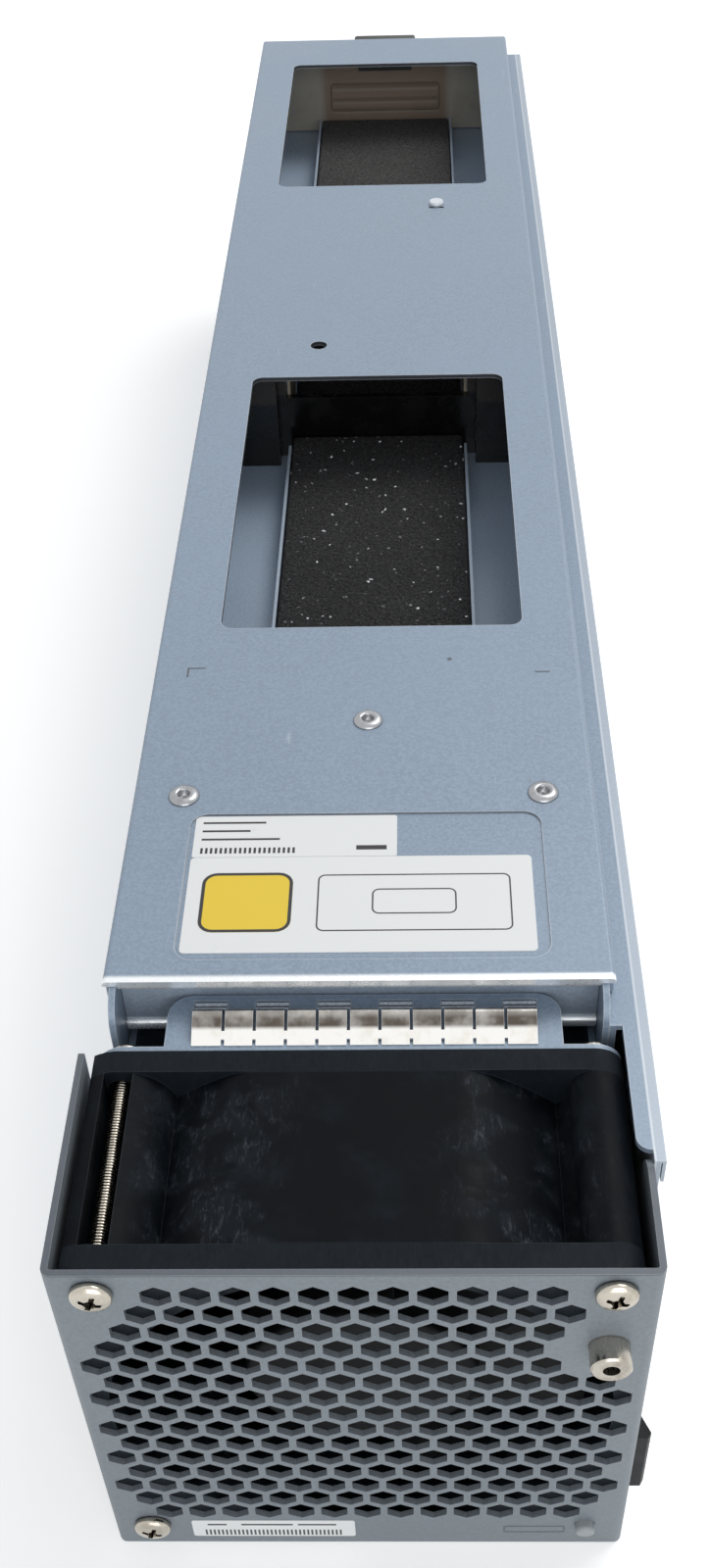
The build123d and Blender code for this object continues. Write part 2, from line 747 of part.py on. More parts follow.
# Duct base: floor and two walls, with rounded front corners
with BuildPart() as chassis_base:
    with BuildSketch(front_plane(front_y + wall_front)):
        with BuildLine():
            FilletPolyline(
                (-wall_outer, wall_top), (-wall_outer, 0), (wall_outer, 0), (wall_outer, wall_top),
                radius=bezel_bend_radius,
            )
            offset(amount=-sheet, side=Side.LEFT)
        make_face()
    extrude(amount=-(module_depth - wall_front))
    front_corners = chassis_base.edges().filter_by(Axis.X).group_by(Axis.Y)[0].group_by(Axis.Z)[-1]
    fillet(front_corners, wall_corner_radius)
    with BuildSketch(Plane.XY):
        with Locations((0, front_y + (floor_front + wall_front) / 2)):
            Rectangle(2 * (bezel_half - sheet - fit_gap), wall_front - floor_front)
    extrude(amount=sheet)
    with BuildSketch(Plane.XY):
        with Locations([(x, foot_rivet_y) for x in foot_rivets_at]):
            Circle(rivet_radius)
    extrude(amount=sheet, mode=Mode.SUBTRACT)
    with BuildSketch(side_plane(-wall_outer)):
        with Locations([(front_y + y, shelf_bottom - shelf_flange / 2) for y in side_rivets_at]):
            Circle(rivet_radius)
    extrude(amount=2 * wall_outer, mode=Mode.SUBTRACT)
chassis_base.part.label = "chassis_base"
export_step(chassis_base.part, "parts/chassis_base.step")

# Cover: lid with two windows, a label recess and folded edges
with BuildPart() as top_cover:
    with BuildSketch(Plane.XY.offset(cover_top)):
        with Locations((0, front_y + (cover_front + module_depth) / 2)):
            Rectangle(2 * cover_half, module_depth - cover_front)
        for near, far in (window_1, window_2):
            with Locations((window_offset, front_y + (near + far) / 2)):
                RectangleRounded(
                    2 * (cover_half - window_margin), far - near, window_radius, mode=Mode.SUBTRACT
                )
        with Locations([(x, front_y + y) for x, y in cover_rivets_at]):
            Circle(rivet_radius, mode=Mode.SUBTRACT)
        with Locations((locating_hole_at[0], front_y + locating_hole_at[1])):
            Circle(locating_hole_radius, mode=Mode.SUBTRACT)
    extrude(amount=-sheet)
    with BuildSketch(front_plane(front_y + cover_front + cover_hem)):
        with Locations((-cover_half + sheet / 2, cover_top - cover_side_drop / 2)):
            Rectangle(sheet, cover_side_drop)
        right_drop = cover_top - bezel_height - cover_shoulder_gap
        with Locations((cover_half - sheet / 2, cover_top - right_drop / 2)):
            Rectangle(sheet, right_drop)
    extrude(amount=-(module_depth - cover_front - cover_hem))
    long_edges = top_cover.edges().filter_by(Axis.Y).group_by(Axis.Z)[-1]
    fillet([long_edges.sort_by(Axis.X)[0], long_edges.sort_by(Axis.X)[-1]], cover_edge_radius)
    hem_half = wall_inner - fit_gap
    with BuildSketch(side_plane(-hem_half)):
        with Locations((front_y + cover_front + cover_hem, cover_top - cover_hem / 2)):
            SlotOverall(2 * cover_hem, cover_hem)
    extrude(amount=2 * hem_half)
    with BuildSketch(Plane.XY.offset(cover_top)):
        with Locations((recess_offset, recess_front + recess_length / 2)):
            RectangleRounded(2 * (cover_half - recess_margin), recess_length, recess_radius)
    extrude(amount=-recess_depth, mode=Mode.SUBTRACT)
    with BuildSketch(Plane.XY.offset(cover_top)):
        with Locations((pip_offset, rear_y - pip_end)):
            Circle(pip_radius)
    extrude(amount=pip_height, taper=20)
    with BuildSketch(Plane.XY.offset(cover_top)):
        with Locations((pip_offset, rear_y - pip_end - pip_radius)):
            SlotOverall(2 * pip_radius, pip_slit)
    extrude(amount=-sheet, mode=Mode.SUBTRACT)
top_cover.part.label = "top_cover"
export_step(top_cover.part, "parts/top_cover.step")

# Cross member under the front of the cover, with a rolled lower edge
member_y = front_y + cover_front + cross_member_setback
cross_member_bottom = cover_top - cross_member_drop
with BuildPart() as cross_member:
    with BuildSketch(side_plane(-wall_inner + fit_gap)):
        member_top = cover_top - cover_hem
        with Locations((member_y + sheet / 2, (cross_member_bottom + member_top) / 2)):
            Rectangle(sheet, member_top - cross_member_bottom)
        with Locations((member_y + cross_member_flange / 2, member_top - sheet / 2)):
            Rectangle(cross_member_flange, sheet)
        with Locations((member_y + sheet / 2 - 0.3, cross_member_bottom + cross_member_roll_radius)):
            Circle(cross_member_roll_radius)
    extrude(amount=2 * (wall_inner - fit_gap))
cross_member.part.label = "cross_member"
export_step(cross_member.part, "parts/cross_member.step")

# Side channel on the right wall: shoulder, outer wall and hemmed top edge
with BuildPart() as side_channel:
    with BuildSketch(front_plane(front_y + side_channel_front)):
        with Locations((side_channel_outer - sheet / 2, bezel_height / 2)):
            Rectangle(sheet, bezel_height)
        with Locations((side_channel_outer + hem_width / 2, bezel_height - sheet / 4)):
            Rectangle(hem_width, sheet / 2)
        with Locations((side_channel_outer + hem_width - 0.25, bezel_height - hem_height / 2)):
            Rectangle(0.5, hem_height)
    extrude(amount=-(module_depth - side_channel_front))
    with BuildSketch(Plane.XY.offset(bezel_height)):
        nose_inner = fan_size / 2 + fit_gap
        nose_rear = front_y + shoulder_front
        with BuildLine():
            Polyline(
                (side_channel_outer, front_y + shoulder_nose),
                (side_channel_outer, nose_rear),
                (nose_inner, nose_rear),
                (nose_inner, front_y + shoulder_nose + shoulder_nose_radius),
            )
            RadiusArc(
                (nose_inner, front_y + shoulder_nose + shoulder_nose_radius),
                (nose_inner + shoulder_nose_radius, front_y + shoulder_nose),
                -shoulder_nose_radius,
            )
            Line(
                (nose_inner + shoulder_nose_radius, front_y + shoulder_nose),
                (side_channel_outer, front_y + shoulder_nose),
            )
        make_face()
    extrude(amount=-sheet)
    with BuildSketch(front_plane(front_y + shoulder_front)):
        shoulder_inner = wall_outer + fit_gap / 2
        with Locations(((shoulder_inner + side_channel_outer) / 2, bezel_height - sheet / 2)):
            Rectangle(side_channel_outer - shoulder_inner, sheet)
        with Locations((shoulder_inner + sheet / 2, bezel_height - shoulder_lip / 2)):
            Rectangle(sheet, shoulder_lip)
        with Locations(((shoulder_inner + side_channel_outer) / 2, sheet / 2)):
            Rectangle(side_channel_outer - shoulder_inner, sheet)
    extrude(amount=-(module_depth - shoulder_front))
side_channel.part.label = "side_channel"
export_step(side_channel.part, "parts/side_channel.step")

# Shelf across the duct, hung between the walls
shelf_half = wall_inner - fit_gap
with BuildPart() as inner_shelf:
    with BuildSketch(front_plane(front_y + shelf_front)):
        with BuildLine():
            FilletPolyline(
                (-shelf_half, shelf_bottom - shelf_flange), (-shelf_half, shelf_top),
                (shelf_half, shelf_top), (shelf_half, shelf_bottom - shelf_flange),
                radius=bezel_bend_radius,
            )
            offset(amount=-sheet, side=Side.RIGHT)
        make_face()
    extrude(amount=-(module_depth - sheet - fit_gap - shelf_front))
    with BuildSketch(side_plane(-wall_outer)):
        with Locations([(front_y + y, shelf_bottom - shelf_flange / 2) for y in side_rivets_at]):
            Circle(rivet_radius)
    extrude(amount=2 * wall_outer, mode=Mode.SUBTRACT)
inner_shelf.part.label = "inner_shelf"
export_step(inner_shelf.part, "parts/inner_shelf.step")

# Rivets of the shelf, heads outside the walls
with BuildPart() as shelf_rivets:
    for side in (-1, 1):
        with BuildSketch(side_plane(side * wall_outer)):
            with Locations([(front_y + y, shelf_bottom - shelf_flange / 2) for y in side_rivets_at]):
                Circle(rivet_head_radius)
        extrude(amount=side * rivet_head_height)
        with BuildSketch(side_plane(side * wall_outer)):
            with Locations([(front_y + y, shelf_bottom - shelf_flange / 2) for y in side_rivets_at]):
                Circle(rivet_radius)
        extrude(amount=-side * (2 * sheet + fit_gap + rivet_tail))
shelf_rivets.part.label = "shelf_rivets"
export_step(shelf_rivets.part, "parts/shelf_rivets.step")

# Front and rear foam pads in their trays on the shelf
pad_half = cover_half - pad_side_margin
tray_half = pad_half + pad_gap + pad_tray_wall
baffle_y = front_y + baffle_front
middle_y = baffle_y + baffle_recess
pad_1 = (pad_start, baffle_front + baffle_recess - pad_gap)
pad_2 = (baffle_front + baffle_recess + baffle_thickness + fit_gap, module_depth - pad_end)


def tray(near: float, far: float) -> Part:
    """Returns a shallow U tray along the shelf, between these two depths."""
    with BuildPart() as made:
        with BuildSketch(front_plane(front_y + near)):
            with Locations((0, shelf_top + pad_tray_wall / 2)):
                Rectangle(2 * tray_half, pad_tray_wall)
            with Locations((0, shelf_top + (pad_tray_wall + pad_height) / 2)):
                with GridLocations(2 * tray_half - pad_tray_wall, 1, 2, 1):
                    Rectangle(pad_tray_wall, pad_tray_wall + pad_height)
        extrude(amount=-(far - near))
    return made.part


def pad(span: tuple) -> Part:
    """Returns a foam pad resting in its tray."""
    near, far = span
    with BuildPart() as made:
        with BuildSketch(Plane.XY.offset(shelf_top + pad_tray_wall)):
            with Locations((0, front_y + (near + far) / 2)):
                Rectangle(2 * pad_half, far - near)
        extrude(amount=pad_height)
    return made.part


with BuildPart() as pad_tray_front:
    add(tray(pad_start, baffle_front))
pad_tray_front.part.label = "pad_tray_front"
export_step(pad_tray_front.part, "parts/pad_tray_front.step")

with BuildPart() as foam_pad_front:
    add(pad(pad_1))
foam_pad_front.part.label = "foam_pad_front"
export_step(foam_pad_front.part, "parts/foam_pad_front.step")

with BuildPart() as pad_tray_rear:
    add(tray(*pad_2))
    upright_top = cover_top - upright_drop
    with BuildSketch(side_plane(-tray_half)):
        with Locations((front_y + pad_2[0] + upright_length / 2, (shelf_top + upright_top) / 2)):
            Rectangle(upright_length, upright_top - shelf_top)
    extrude(amount=pad_tray_wall)
    mirror(about=Plane.YZ)
pad_tray_rear.part.label = "pad_tray_rear"
export_step(pad_tray_rear.part, "parts/pad_tray_rear.step")

with BuildPart() as foam_pad_rear:
    add(pad(pad_2))
foam_pad_rear.part.label = "foam_pad_rear"
export_step(foam_pad_rear.part, "parts/foam_pad_rear.step")

# Black baffle between the two pads: its middle is set back over the front pad and stands lower
recess_half = tray_half + pad_gap + baffle_thickness
with BuildPart() as centre_baffle:
    with BuildSketch(Plane.XY.offset(shelf_top)):
        with BuildLine():
            Polyline(
                (-shelf_half, baffle_y),
                (-recess_half, baffle_y),
                (-recess_half, middle_y),
                (recess_half, middle_y),
                (recess_half, baffle_y),
                (shelf_half, baffle_y),
            )
            offset(amount=baffle_thickness, side=Side.LEFT)
        make_face()
    extrude(amount=cover_top - baffle_drop - shelf_top)
    with BuildSketch(front_plane(middle_y)):
        with Locations((0, cover_top)):
            Rectangle(2 * recess_half - 2 * baffle_thickness, 2 * baffle_recess_drop)
    extrude(amount=-baffle_thickness, mode=Mode.SUBTRACT)
centre_baffle.part.label = "centre_baffle"
export_step(centre_baffle.part, "parts/centre_baffle.step")

# Hanger riveted under the cover, ending in a wall in front of the shelf
hanger_near, hanger_far = hanger_span
hanger_top = cover_top - sheet
hanger_width = 2 * (cover_half - hanger_margin)
with BuildPart() as shelf_hanger:
    with BuildSketch(Plane.XY.offset(hanger_top)):
        with Locations((0, front_y + (hanger_near + hanger_far) / 2)):
            Rectangle(hanger_width, hanger_far - hanger_near)
        with Locations([(x, front_y + y) for x, y in cover_rivets_at]):
            Circle(rivet_radius, mode=Mode.SUBTRACT)
    extrude(amount=-sheet)
    with BuildSketch(front_plane(front_y + hanger_far - sheet)):
        with Locations((0, (shelf_bottom + hanger_top) / 2)):
            Rectangle(hanger_width, hanger_top - shelf_bottom)
    extrude(amount=-sheet)
    with BuildSketch(Plane.XY.offset(shelf_bottom)):
        with Locations((0, front_y + hanger_far - sheet + hanger_foot / 2)):
            Rectangle(hanger_width - 2 * sheet, hanger_foot)
    extrude(amount=-sheet)
shelf_hanger.part.label = "shelf_hanger"
export_step(shelf_hanger.part, "parts/shelf_hanger.step")

# Blind rivets on the cover
with BuildPart() as cover_rivets:
    with BuildSketch(Plane.XY.offset(cover_top)):
        with Locations([(x, front_y + y) for x, y in cover_rivets_at]):
            Circle(rivet_head_radius)
    extrude(amount=rivet_head_height)
    rims = cover_rivets.edges().filter_by(GeomType.CIRCLE).group_by(Axis.Z)[-1]
    fillet(rims, rivet_head_height * 0.7)
    with BuildSketch(Plane.XY.offset(cover_top)):
        with Locations([(x, front_y + y) for x, y in cover_rivets_at]):
            Circle(rivet_radius)
    extrude(amount=-(2 * sheet + rivet_tail))
    with BuildSketch(Plane.XY.offset(cover_top + rivet_head_height)):
        with Locations([(x, front_y + y) for x, y in cover_rivets_at]):
            Circle(rivet_mandrel_radius)
    extrude(amount=-rivet_head_height * 1.5, mode=Mode.SUBTRACT)
cover_rivets.part.label = "cover_rivets"
export_step(cover_rivets.part, "parts/cover_rivets.step")

# Rivets of the bezel's foot, flush with the underside
with BuildPart() as foot_rivets:
    with BuildSketch(Plane.XY):
        with Locations([(x, foot_rivet_y) for x in foot_rivets_at]):
            Circle(rivet_radius)
    extrude(amount=2 * sheet)
    with BuildSketch(Plane.XY.offset(2 * sheet)):
        with Locations([(x, foot_rivet_y) for x in foot_rivets_at]):
            Circle(rivet_head_radius)
    extrude(amount=foot_rivet_head)
foot_rivets.part.label = "foot_rivets"
export_step(foot_rivets.part, "parts/foot_rivets.step")

# Rear plate: air slots below and the connector's opening above
connector_centre = cover_top - connector_drop
rear_slot_rows = int((shelf_bottom - shelf_flange - rear_slot_start) / rear_slot_pitch) + 1
tail_height = connector_height - 2 * connector_tail_setback
tail_width = connector_width - 2 * connector_tail_setback
with BuildPart() as rear_plate:
    with BuildSketch(front_plane(rear_y - sheet)):
        with Locations((0, (sheet + hanger_top) / 2)):
            Rectangle(2 * shelf_half, hanger_top - sheet - 2 * fit_gap)
        with Locations((0, rear_slot_start + rear_slot_pitch * (rear_slot_rows - 1) / 2)):
            with GridLocations(shelf_half, rear_slot_pitch, rear_slot_columns, rear_slot_rows):
                SlotOverall(shelf_half - rear_slot_gap, rear_slot_width, mode=Mode.SUBTRACT)
        with Locations((0, connector_centre)):
            Rectangle(tail_width + 2 * fit_gap, tail_height + 2 * fit_gap, mode=Mode.SUBTRACT)
    extrude(amount=-sheet)
    with BuildSketch(front_plane(rear_y - sheet)):
        with Locations((0, (2 * sheet + shelf_bottom - shelf_flange) / 2)):
            with GridLocations(2 * shelf_half - sheet, 1, 2, 1):
                Rectangle(sheet, shelf_bottom - shelf_flange - 4 * sheet)
    extrude(amount=rear_flange_length)
rear_plate.part.label = "rear_plate"
export_step(rear_plate.part, "parts/rear_plate.step")

# Brown liner inside the rear plate above the shelf, embossed to stiffen it
liner_bottom = shelf_top + liner_bottom_gap
liner_top = hanger_top - 2 * fit_gap
with BuildPart() as rear_liner:
    with BuildSketch(front_plane(rear_y - sheet)):
        with Locations((0, (liner_bottom + liner_top) / 2)):
            Rectangle(2 * (shelf_half - sheet), liner_top - liner_bottom)
        with Locations((0, connector_centre)):
            Rectangle(tail_width + 2 * fit_gap, tail_height + 2 * fit_gap, mode=Mode.SUBTRACT)
    extrude(amount=liner_thickness)
    with BuildSketch(front_plane(rear_y - sheet - liner_thickness)):
        with Locations((0, cover_top - liner_pad_drop)):
            RectangleRounded(*liner_pad_size, 1.5)
    extrude(amount=liner_pad_rise, taper=30)
rear_liner.part.label = "rear_liner"
export_step(rear_liner.part, "parts/rear_liner.step")

# Docking connector: moulded shell outside the rear plate, its tail passing through
with BuildPart() as rear_connector:
    with BuildSketch(front_plane(rear_y + connector_reach)):
        with Locations((0, connector_centre)):
            RectangleRounded(connector_width, connector_height, 0.8)
    extrude(amount=connector_reach)
    with BuildSketch(front_plane(rear_y + connector_flange)):
        with Locations((0, connector_centre)):
            RectangleRounded(connector_width + 4, connector_height + 2, 1.0)
    extrude(amount=connector_flange)
    with BuildSketch(front_plane(rear_y + connector_reach)):
        with Locations((0, connector_centre)):
            Rectangle(connector_width - 2 * connector_wall, connector_height - 2 * connector_wall)
    extrude(amount=connector_reach - connector_flange, mode=Mode.SUBTRACT)
    with BuildSketch(front_plane(rear_y)):
        with Locations((0, connector_centre)):
            Rectangle(tail_width, tail_height)
    extrude(amount=connector_tail)
rear_connector.part.label = "rear_connector"
export_step(rear_connector.part, "parts/rear_connector.step")

with BuildPart() as connector_contacts:
    with BuildSketch(front_plane(rear_y + connector_flange)):
        with Locations((0, connector_centre)):
            with GridLocations(contact_pitch, 2.2, contact_count, 2):
                Rectangle(contact_width, contact_width)
    extrude(amount=-(connector_reach - 2 * connector_flange))
connector_contacts.part.label = "connector_contacts"
export_step(connector_contacts.part, "parts/connector_contacts.step")

# Release latch: lever with a wedge-shaped finger, swinging on an upright pin
pivot_y = front_y + latch_pivot_depth
finger_front = front_y + latch_finger_front
finger_rear = front_y + latch_finger_rear
with BuildPart() as release_latch:
    with BuildSketch(Plane.XY.offset(latch_bottom)):
        with Locations(((latch_inner + latch_outer) / 2, (finger_front + pivot_y) / 2)):
            Rectangle(latch_thickness, pivot_y - finger_front)
        with Locations((latch_pivot_x, pivot_y)):
            Circle(latch_hub_radius)
    extrude(amount=latch_top - latch_bottom)
    with BuildSketch(Plane.XY.offset(finger_low)):
        with BuildLine():
            finger_x = latch_outer + latch_finger_reach
            Polyline(
                (latch_outer, finger_front),
                (finger_x - 0.6, finger_front),
                (finger_x, finger_front + 1.0),
                (latch_outer, finger_rear),
                close=True,
            )
        make_face()
    extrude(amount=finger_high - finger_low)
    with BuildSketch(Plane.XY.offset(latch_middle - latch_slot_height / 2)):
        with Locations((latch_pivot_x, pivot_y)):
            Rectangle(2 * latch_hub_radius + 1, 2 * spring_radius + 3)
    extrude(amount=latch_slot_height, mode=Mode.SUBTRACT)
    with BuildSketch(Plane.XY.offset(latch_bottom)):
        with Locations((latch_pivot_x, pivot_y)):
            Circle(latch_pin_radius + running_clearance)
    extrude(amount=latch_top - latch_bottom, mode=Mode.SUBTRACT)
release_latch.part.label = "release_latch"
export_step(release_latch.part, "parts/release_latch.step")

# Bracket of the latch on the outer wall: two ears that hold the pin
ear_low = latch_bottom - latch_ear_gap
ear_high = latch_top + latch_ear_gap
plate_outer = side_channel_outer - sheet
ear_inner = latch_outer - latch_ear_reach
with BuildPart() as latch_bracket:
    with BuildSketch(side_plane(plate_outer)):
        with Locations((pivot_y, latch_middle)):
            Rectangle(latch_bracket_length, ear_high - ear_low + 2 * sheet)
    extrude(amount=-sheet)
    for height in (ear_low - sheet, ear_high):
        with BuildSketch(Plane.XY.offset(height)):
            with Locations(((ear_inner + plate_outer) / 2, pivot_y)):
                Rectangle(plate_outer - ear_inner, latch_bracket_length)
        extrude(amount=sheet)
    with BuildSketch(Plane.XY.offset(ear_low - sheet)):
        with Locations((latch_pivot_x, pivot_y)):
            Circle(latch_pin_radius)
    extrude(amount=ear_high - ear_low + 2 * sheet, mode=Mode.SUBTRACT)
latch_bracket.part.label = "latch_bracket"
export_step(latch_bracket.part, "parts/latch_bracket.step")

with BuildPart() as latch_pin:
    with BuildSketch(Plane.XY.offset(ear_low - sheet)):
        with Locations((latch_pivot_x, pivot_y)):
            Circle(latch_pin_radius)
    extrude(amount=ear_high - ear_low + 2 * sheet)
    with BuildSketch(Plane.XY.offset(ear_high + sheet)):
        with Locations((latch_pivot_x, pivot_y)):
            Circle(latch_pin_radius * 1.7)
    extrude(amount=0.8)
latch_pin.part.label = "latch_pin"
export_step(latch_pin.part, "parts/latch_pin.step")

# Torsion spring round the pin: the long leg lies behind the lever, the short one on the bracket
spring_height = spring_turns * spring_pitch
spring_base = latch_middle - spring_height / 2
with BuildPart() as latch_spring:
    with BuildLine() as wire:
        coil = Helix(spring_pitch, spring_height, spring_radius, center=(latch_pivot_x, pivot_y, spring_base))
        Line(coil @ 0 - (coil % 0) * spring_short_leg, coil @ 0)
        Line(coil @ 1, coil @ 1 + (coil % 1) * spring_long_leg)
    with BuildSketch(Plane(origin=coil @ 0 - (coil % 0) * spring_short_leg, z_dir=coil % 0)):
        Circle(spring_wire_radius)
    sweep(path=wire.wires()[0])
latch_spring.part.label = "latch_spring"
export_step(latch_spring.part, "parts/latch_spring.step")
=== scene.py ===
"""Looks of the storage fan module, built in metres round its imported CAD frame.

X runs to the right seen from the front, Y from the front to the rear, Z up. The module lies on
the floor at z = 0. Each sub-assembly is a class that makes and dresses its own pieces. Sizes and
places are in millimetres unless a name says otherwise.
"""

import logging
import math
from dataclasses import dataclass, field
from enum import Enum

import bmesh
import bpy
from mathutils import Matrix, Vector

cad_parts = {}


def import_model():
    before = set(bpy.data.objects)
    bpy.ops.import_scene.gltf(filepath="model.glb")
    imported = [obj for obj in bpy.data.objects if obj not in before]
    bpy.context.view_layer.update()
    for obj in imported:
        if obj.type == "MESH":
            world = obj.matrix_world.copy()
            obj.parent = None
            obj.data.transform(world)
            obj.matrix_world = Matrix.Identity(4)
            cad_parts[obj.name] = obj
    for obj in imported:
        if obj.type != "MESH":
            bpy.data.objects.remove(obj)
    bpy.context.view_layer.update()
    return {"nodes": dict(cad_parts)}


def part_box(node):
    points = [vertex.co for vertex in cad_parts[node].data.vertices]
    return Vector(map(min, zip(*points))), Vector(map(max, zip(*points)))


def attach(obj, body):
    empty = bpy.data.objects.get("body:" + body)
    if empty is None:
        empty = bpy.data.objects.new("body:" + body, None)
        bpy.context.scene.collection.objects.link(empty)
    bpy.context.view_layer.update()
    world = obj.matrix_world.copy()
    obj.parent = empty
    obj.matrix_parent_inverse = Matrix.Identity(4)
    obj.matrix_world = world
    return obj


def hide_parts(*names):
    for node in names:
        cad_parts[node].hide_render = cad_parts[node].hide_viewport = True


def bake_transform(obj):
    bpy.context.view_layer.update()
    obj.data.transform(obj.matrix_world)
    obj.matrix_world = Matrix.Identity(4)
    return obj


LOG = logging.getLogger("fan_module")
MM = 0.001
WELD = 1e-5
LEAST_RADIUS = 0.01
FIXED_BODY = "module"
GEOMETRY = "NodeSocketGeometry"
FLOAT = "NodeSocketFloat"
WHOLE = "NodeSocketInt"
OBJECT = "NodeSocketObject"

Colour = tuple[float, float, float]
Point = tuple[float, float, float]
Edges = tuple[float, float, float, float]
Pairs = list[tuple[float, float]]
Socket = bpy.types.NodeSocket
Object = bpy.types.Object
Material = bpy.types.Material
Mesh = bmesh.types.BMesh

WHITE = (1.0, 1.0, 1.0)
DUCT_TONE = (0.265, 0.335, 0.425)
INNER_TONE = (0.37, 0.455, 0.56)
# Tone of bare worn edges, also used for painted highlights on the pip and the side channel.
BARE_EDGE_AND_HIGHLIGHT = (0.72, 0.76, 0.80)
# Near-white tone of the painted highlight on polished hems.
HEM_HIGHLIGHT_TONE = (0.93, 0.96, 0.98)
# Dark tone of the painted shade on upright cut faces.
CUT_SHADE_TONE = (0.045, 0.05, 0.058)
TAN_TONE = (0.36, 0.30, 0.20)
# Dark tone of the painted shade, with some dirt, in hollows of plated metal.
DIRT_AND_SHADE_TONE = (0.02, 0.018, 0.016)


def scaled(tone: Colour, share: float) -> Colour:
    """Returns a lighter or darker tone, at most white."""
    return tuple(min(1.0, part * share) for part in tone)


class Finish(Enum):
    """The finishes that the module's pieces can have."""

    COVER_STEEL = "cover_steel"
    PLAIN_STEEL = "plain_steel"
    CHANNEL_STEEL = "channel_steel"
    ROLLED_STEEL = "rolled_steel"
    BEZEL_STEEL = "bezel_steel"
    INNER_STEEL = "inner_steel"
    TRAY_STEEL = "tray_steel"
    TAB_HIGHLIGHT = "tab_highlight"
    BRIGHT_STEEL = "bright_steel"
    NICKEL = "nickel"
    RIVET_STEEL = "rivet_steel"
    THREAD = "thread"
    CONTACT_STRIP = "contact_strip_metal"
    FAN_PLASTIC = "fan_plastic"
    LATCH_PLASTIC = "latch_plastic"
    ROTOR_PLASTIC = "rotor_plastic"
    CONNECTOR_PLASTIC = "connector_plastic"
    GLOSS_BLACK = "gloss_black"
    FOAM = "foam"
    FOAM_WORN = "foam_worn"
    FOAM_SPECK = "foam_speck"
    LABEL_WHITE = "label_white"
    LABEL_YELLOW = "label_yellow"
    PRINT_BLACK = "print_black"
    SCRIBE = "scribe"
    LENS = "lens"
    BOARD = "board"
    COPPER = "copper"
    FERRITE = "ferrite"
    GOLD = "gold"
    BROWN_SHEET = "brown_sheet"


@dataclass(frozen=True)
class Zone:
    """A mask that runs from start to end between two places on an axis, or two distances from a middle."""

    axis: str
    low: float
    high: float
    start: float = 0.0
    end: float = 1.0
    middle: float | None = None


@dataclass(frozen=True)
class Tint:
    """A colour laid on a sheet in these zones only; some tints are the sheet's own colour, others are painted
    shade or painted highlights.
    """

    tone: Colour
    zones: tuple[Zone, ...]
    upright: bool = False


# Painted shade on the cover's upright cut faces round its windows and slots.
WINDOW_CUT_SHADE = (Zone("X", 37.4, 36.8, middle=0.0), Zone("Y", -176.0, -175.0))
# Painted highlight on the top of the lanced pip, the only part of the cover this high.
PIP_HIGHLIGHT = (Zone("Z", 88.3, 88.8),)
# Painted highlights on the side channel's outer strip and along its fold.
CHANNEL_SIDE_HIGHLIGHT = (Zone("X", 42.6, 42.9, 0.0, 0.35),)
CHANNEL_FOLD_HIGHLIGHT = (Zone("X", 0.28, 0.1, 0.0, 0.7, middle=42.55),)
# Painted dark reflection on the bezel's top rim, which is darker than its front face.
BEZEL_RIM_DARK_REFLECTION = (Zone("Z", 82.1, 82.5, 0.0, 0.75),)
TRAY_UPRIGHTS = (Zone("Z", 66.5, 67.5),)
# Part of the screws whose thread gets painted shade between its turns.
SCREW_SHANK_SHADE = (Zone("Y", -228.0, -227.0),)
# Band across the contact strip's crown that gets painted shade.
STRIP_CROWN_SHADE = (Zone("Y", -185.9, -185.1), Zone("Y", -184.3, -183.4, 1.0, 0.8))
# Bands of the cover's front hem and the cross member's lower roll that get a painted highlight.
COVER_HEM_HIGHLIGHT = Zone("Y", -178.4, -179.4)
MEMBER_ROLL_HIGHLIGHT = Zone("Z", 77.2, 76.2)


class Tree:
    """A node tree that is built one node at a time."""

    def __init__(self, tree: bpy.types.NodeTree) -> None:
        """Takes over a tree without nodes."""
        self.tree = tree

    def node(self, kind: str, inputs: dict | None = None, **settings: object) -> bpy.types.Node:
        """Adds a node.

        Args:
            kind: The node's type.
            inputs: Socket names or numbers with a value or a socket to link.
            **settings: The node's own properties.

        Returns:
            The new node.
        """
        made = self.tree.nodes.new(kind)
        for key, value in settings.items():
            setattr(made, key, value)
        for key, value in (inputs or {}).items():
            self.feed(made.inputs[key], value)
        return made

    def feed(self, socket: Socket, value: object) -> None:
        """Links or sets a socket.

        Args:
            socket: The input to feed.
            value: Another socket, a number or a colour.
        """
        if isinstance(value, Socket):
            self.tree.links.new(value, socket)
        elif isinstance(value, tuple) and len(value) == 3 and socket.type == "RGBA":
            socket.default_value = (*value, 1.0)
        else:
            socket.default_value = value

    def maths(self, operation: str, first: object, second: object) -> Socket:
        """Returns the result of a maths node on two values."""
        return self.node("ShaderNodeMath", {0: first, 1: second}, operation=operation).outputs[0]

    def direct(self) -> Socket:
        """Marks what the camera sees, also by reflection or through something clear.

        Returns:
            A mask that is 1 there.
        """
        path = self.node("ShaderNodeLightPath")
        seen = path.outputs["Is Camera Ray"]
        for kind in ("Is Glossy Ray", "Is Transmission Ray"):
            seen = self.maths("MAXIMUM", seen, path.outputs[kind])
        return seen


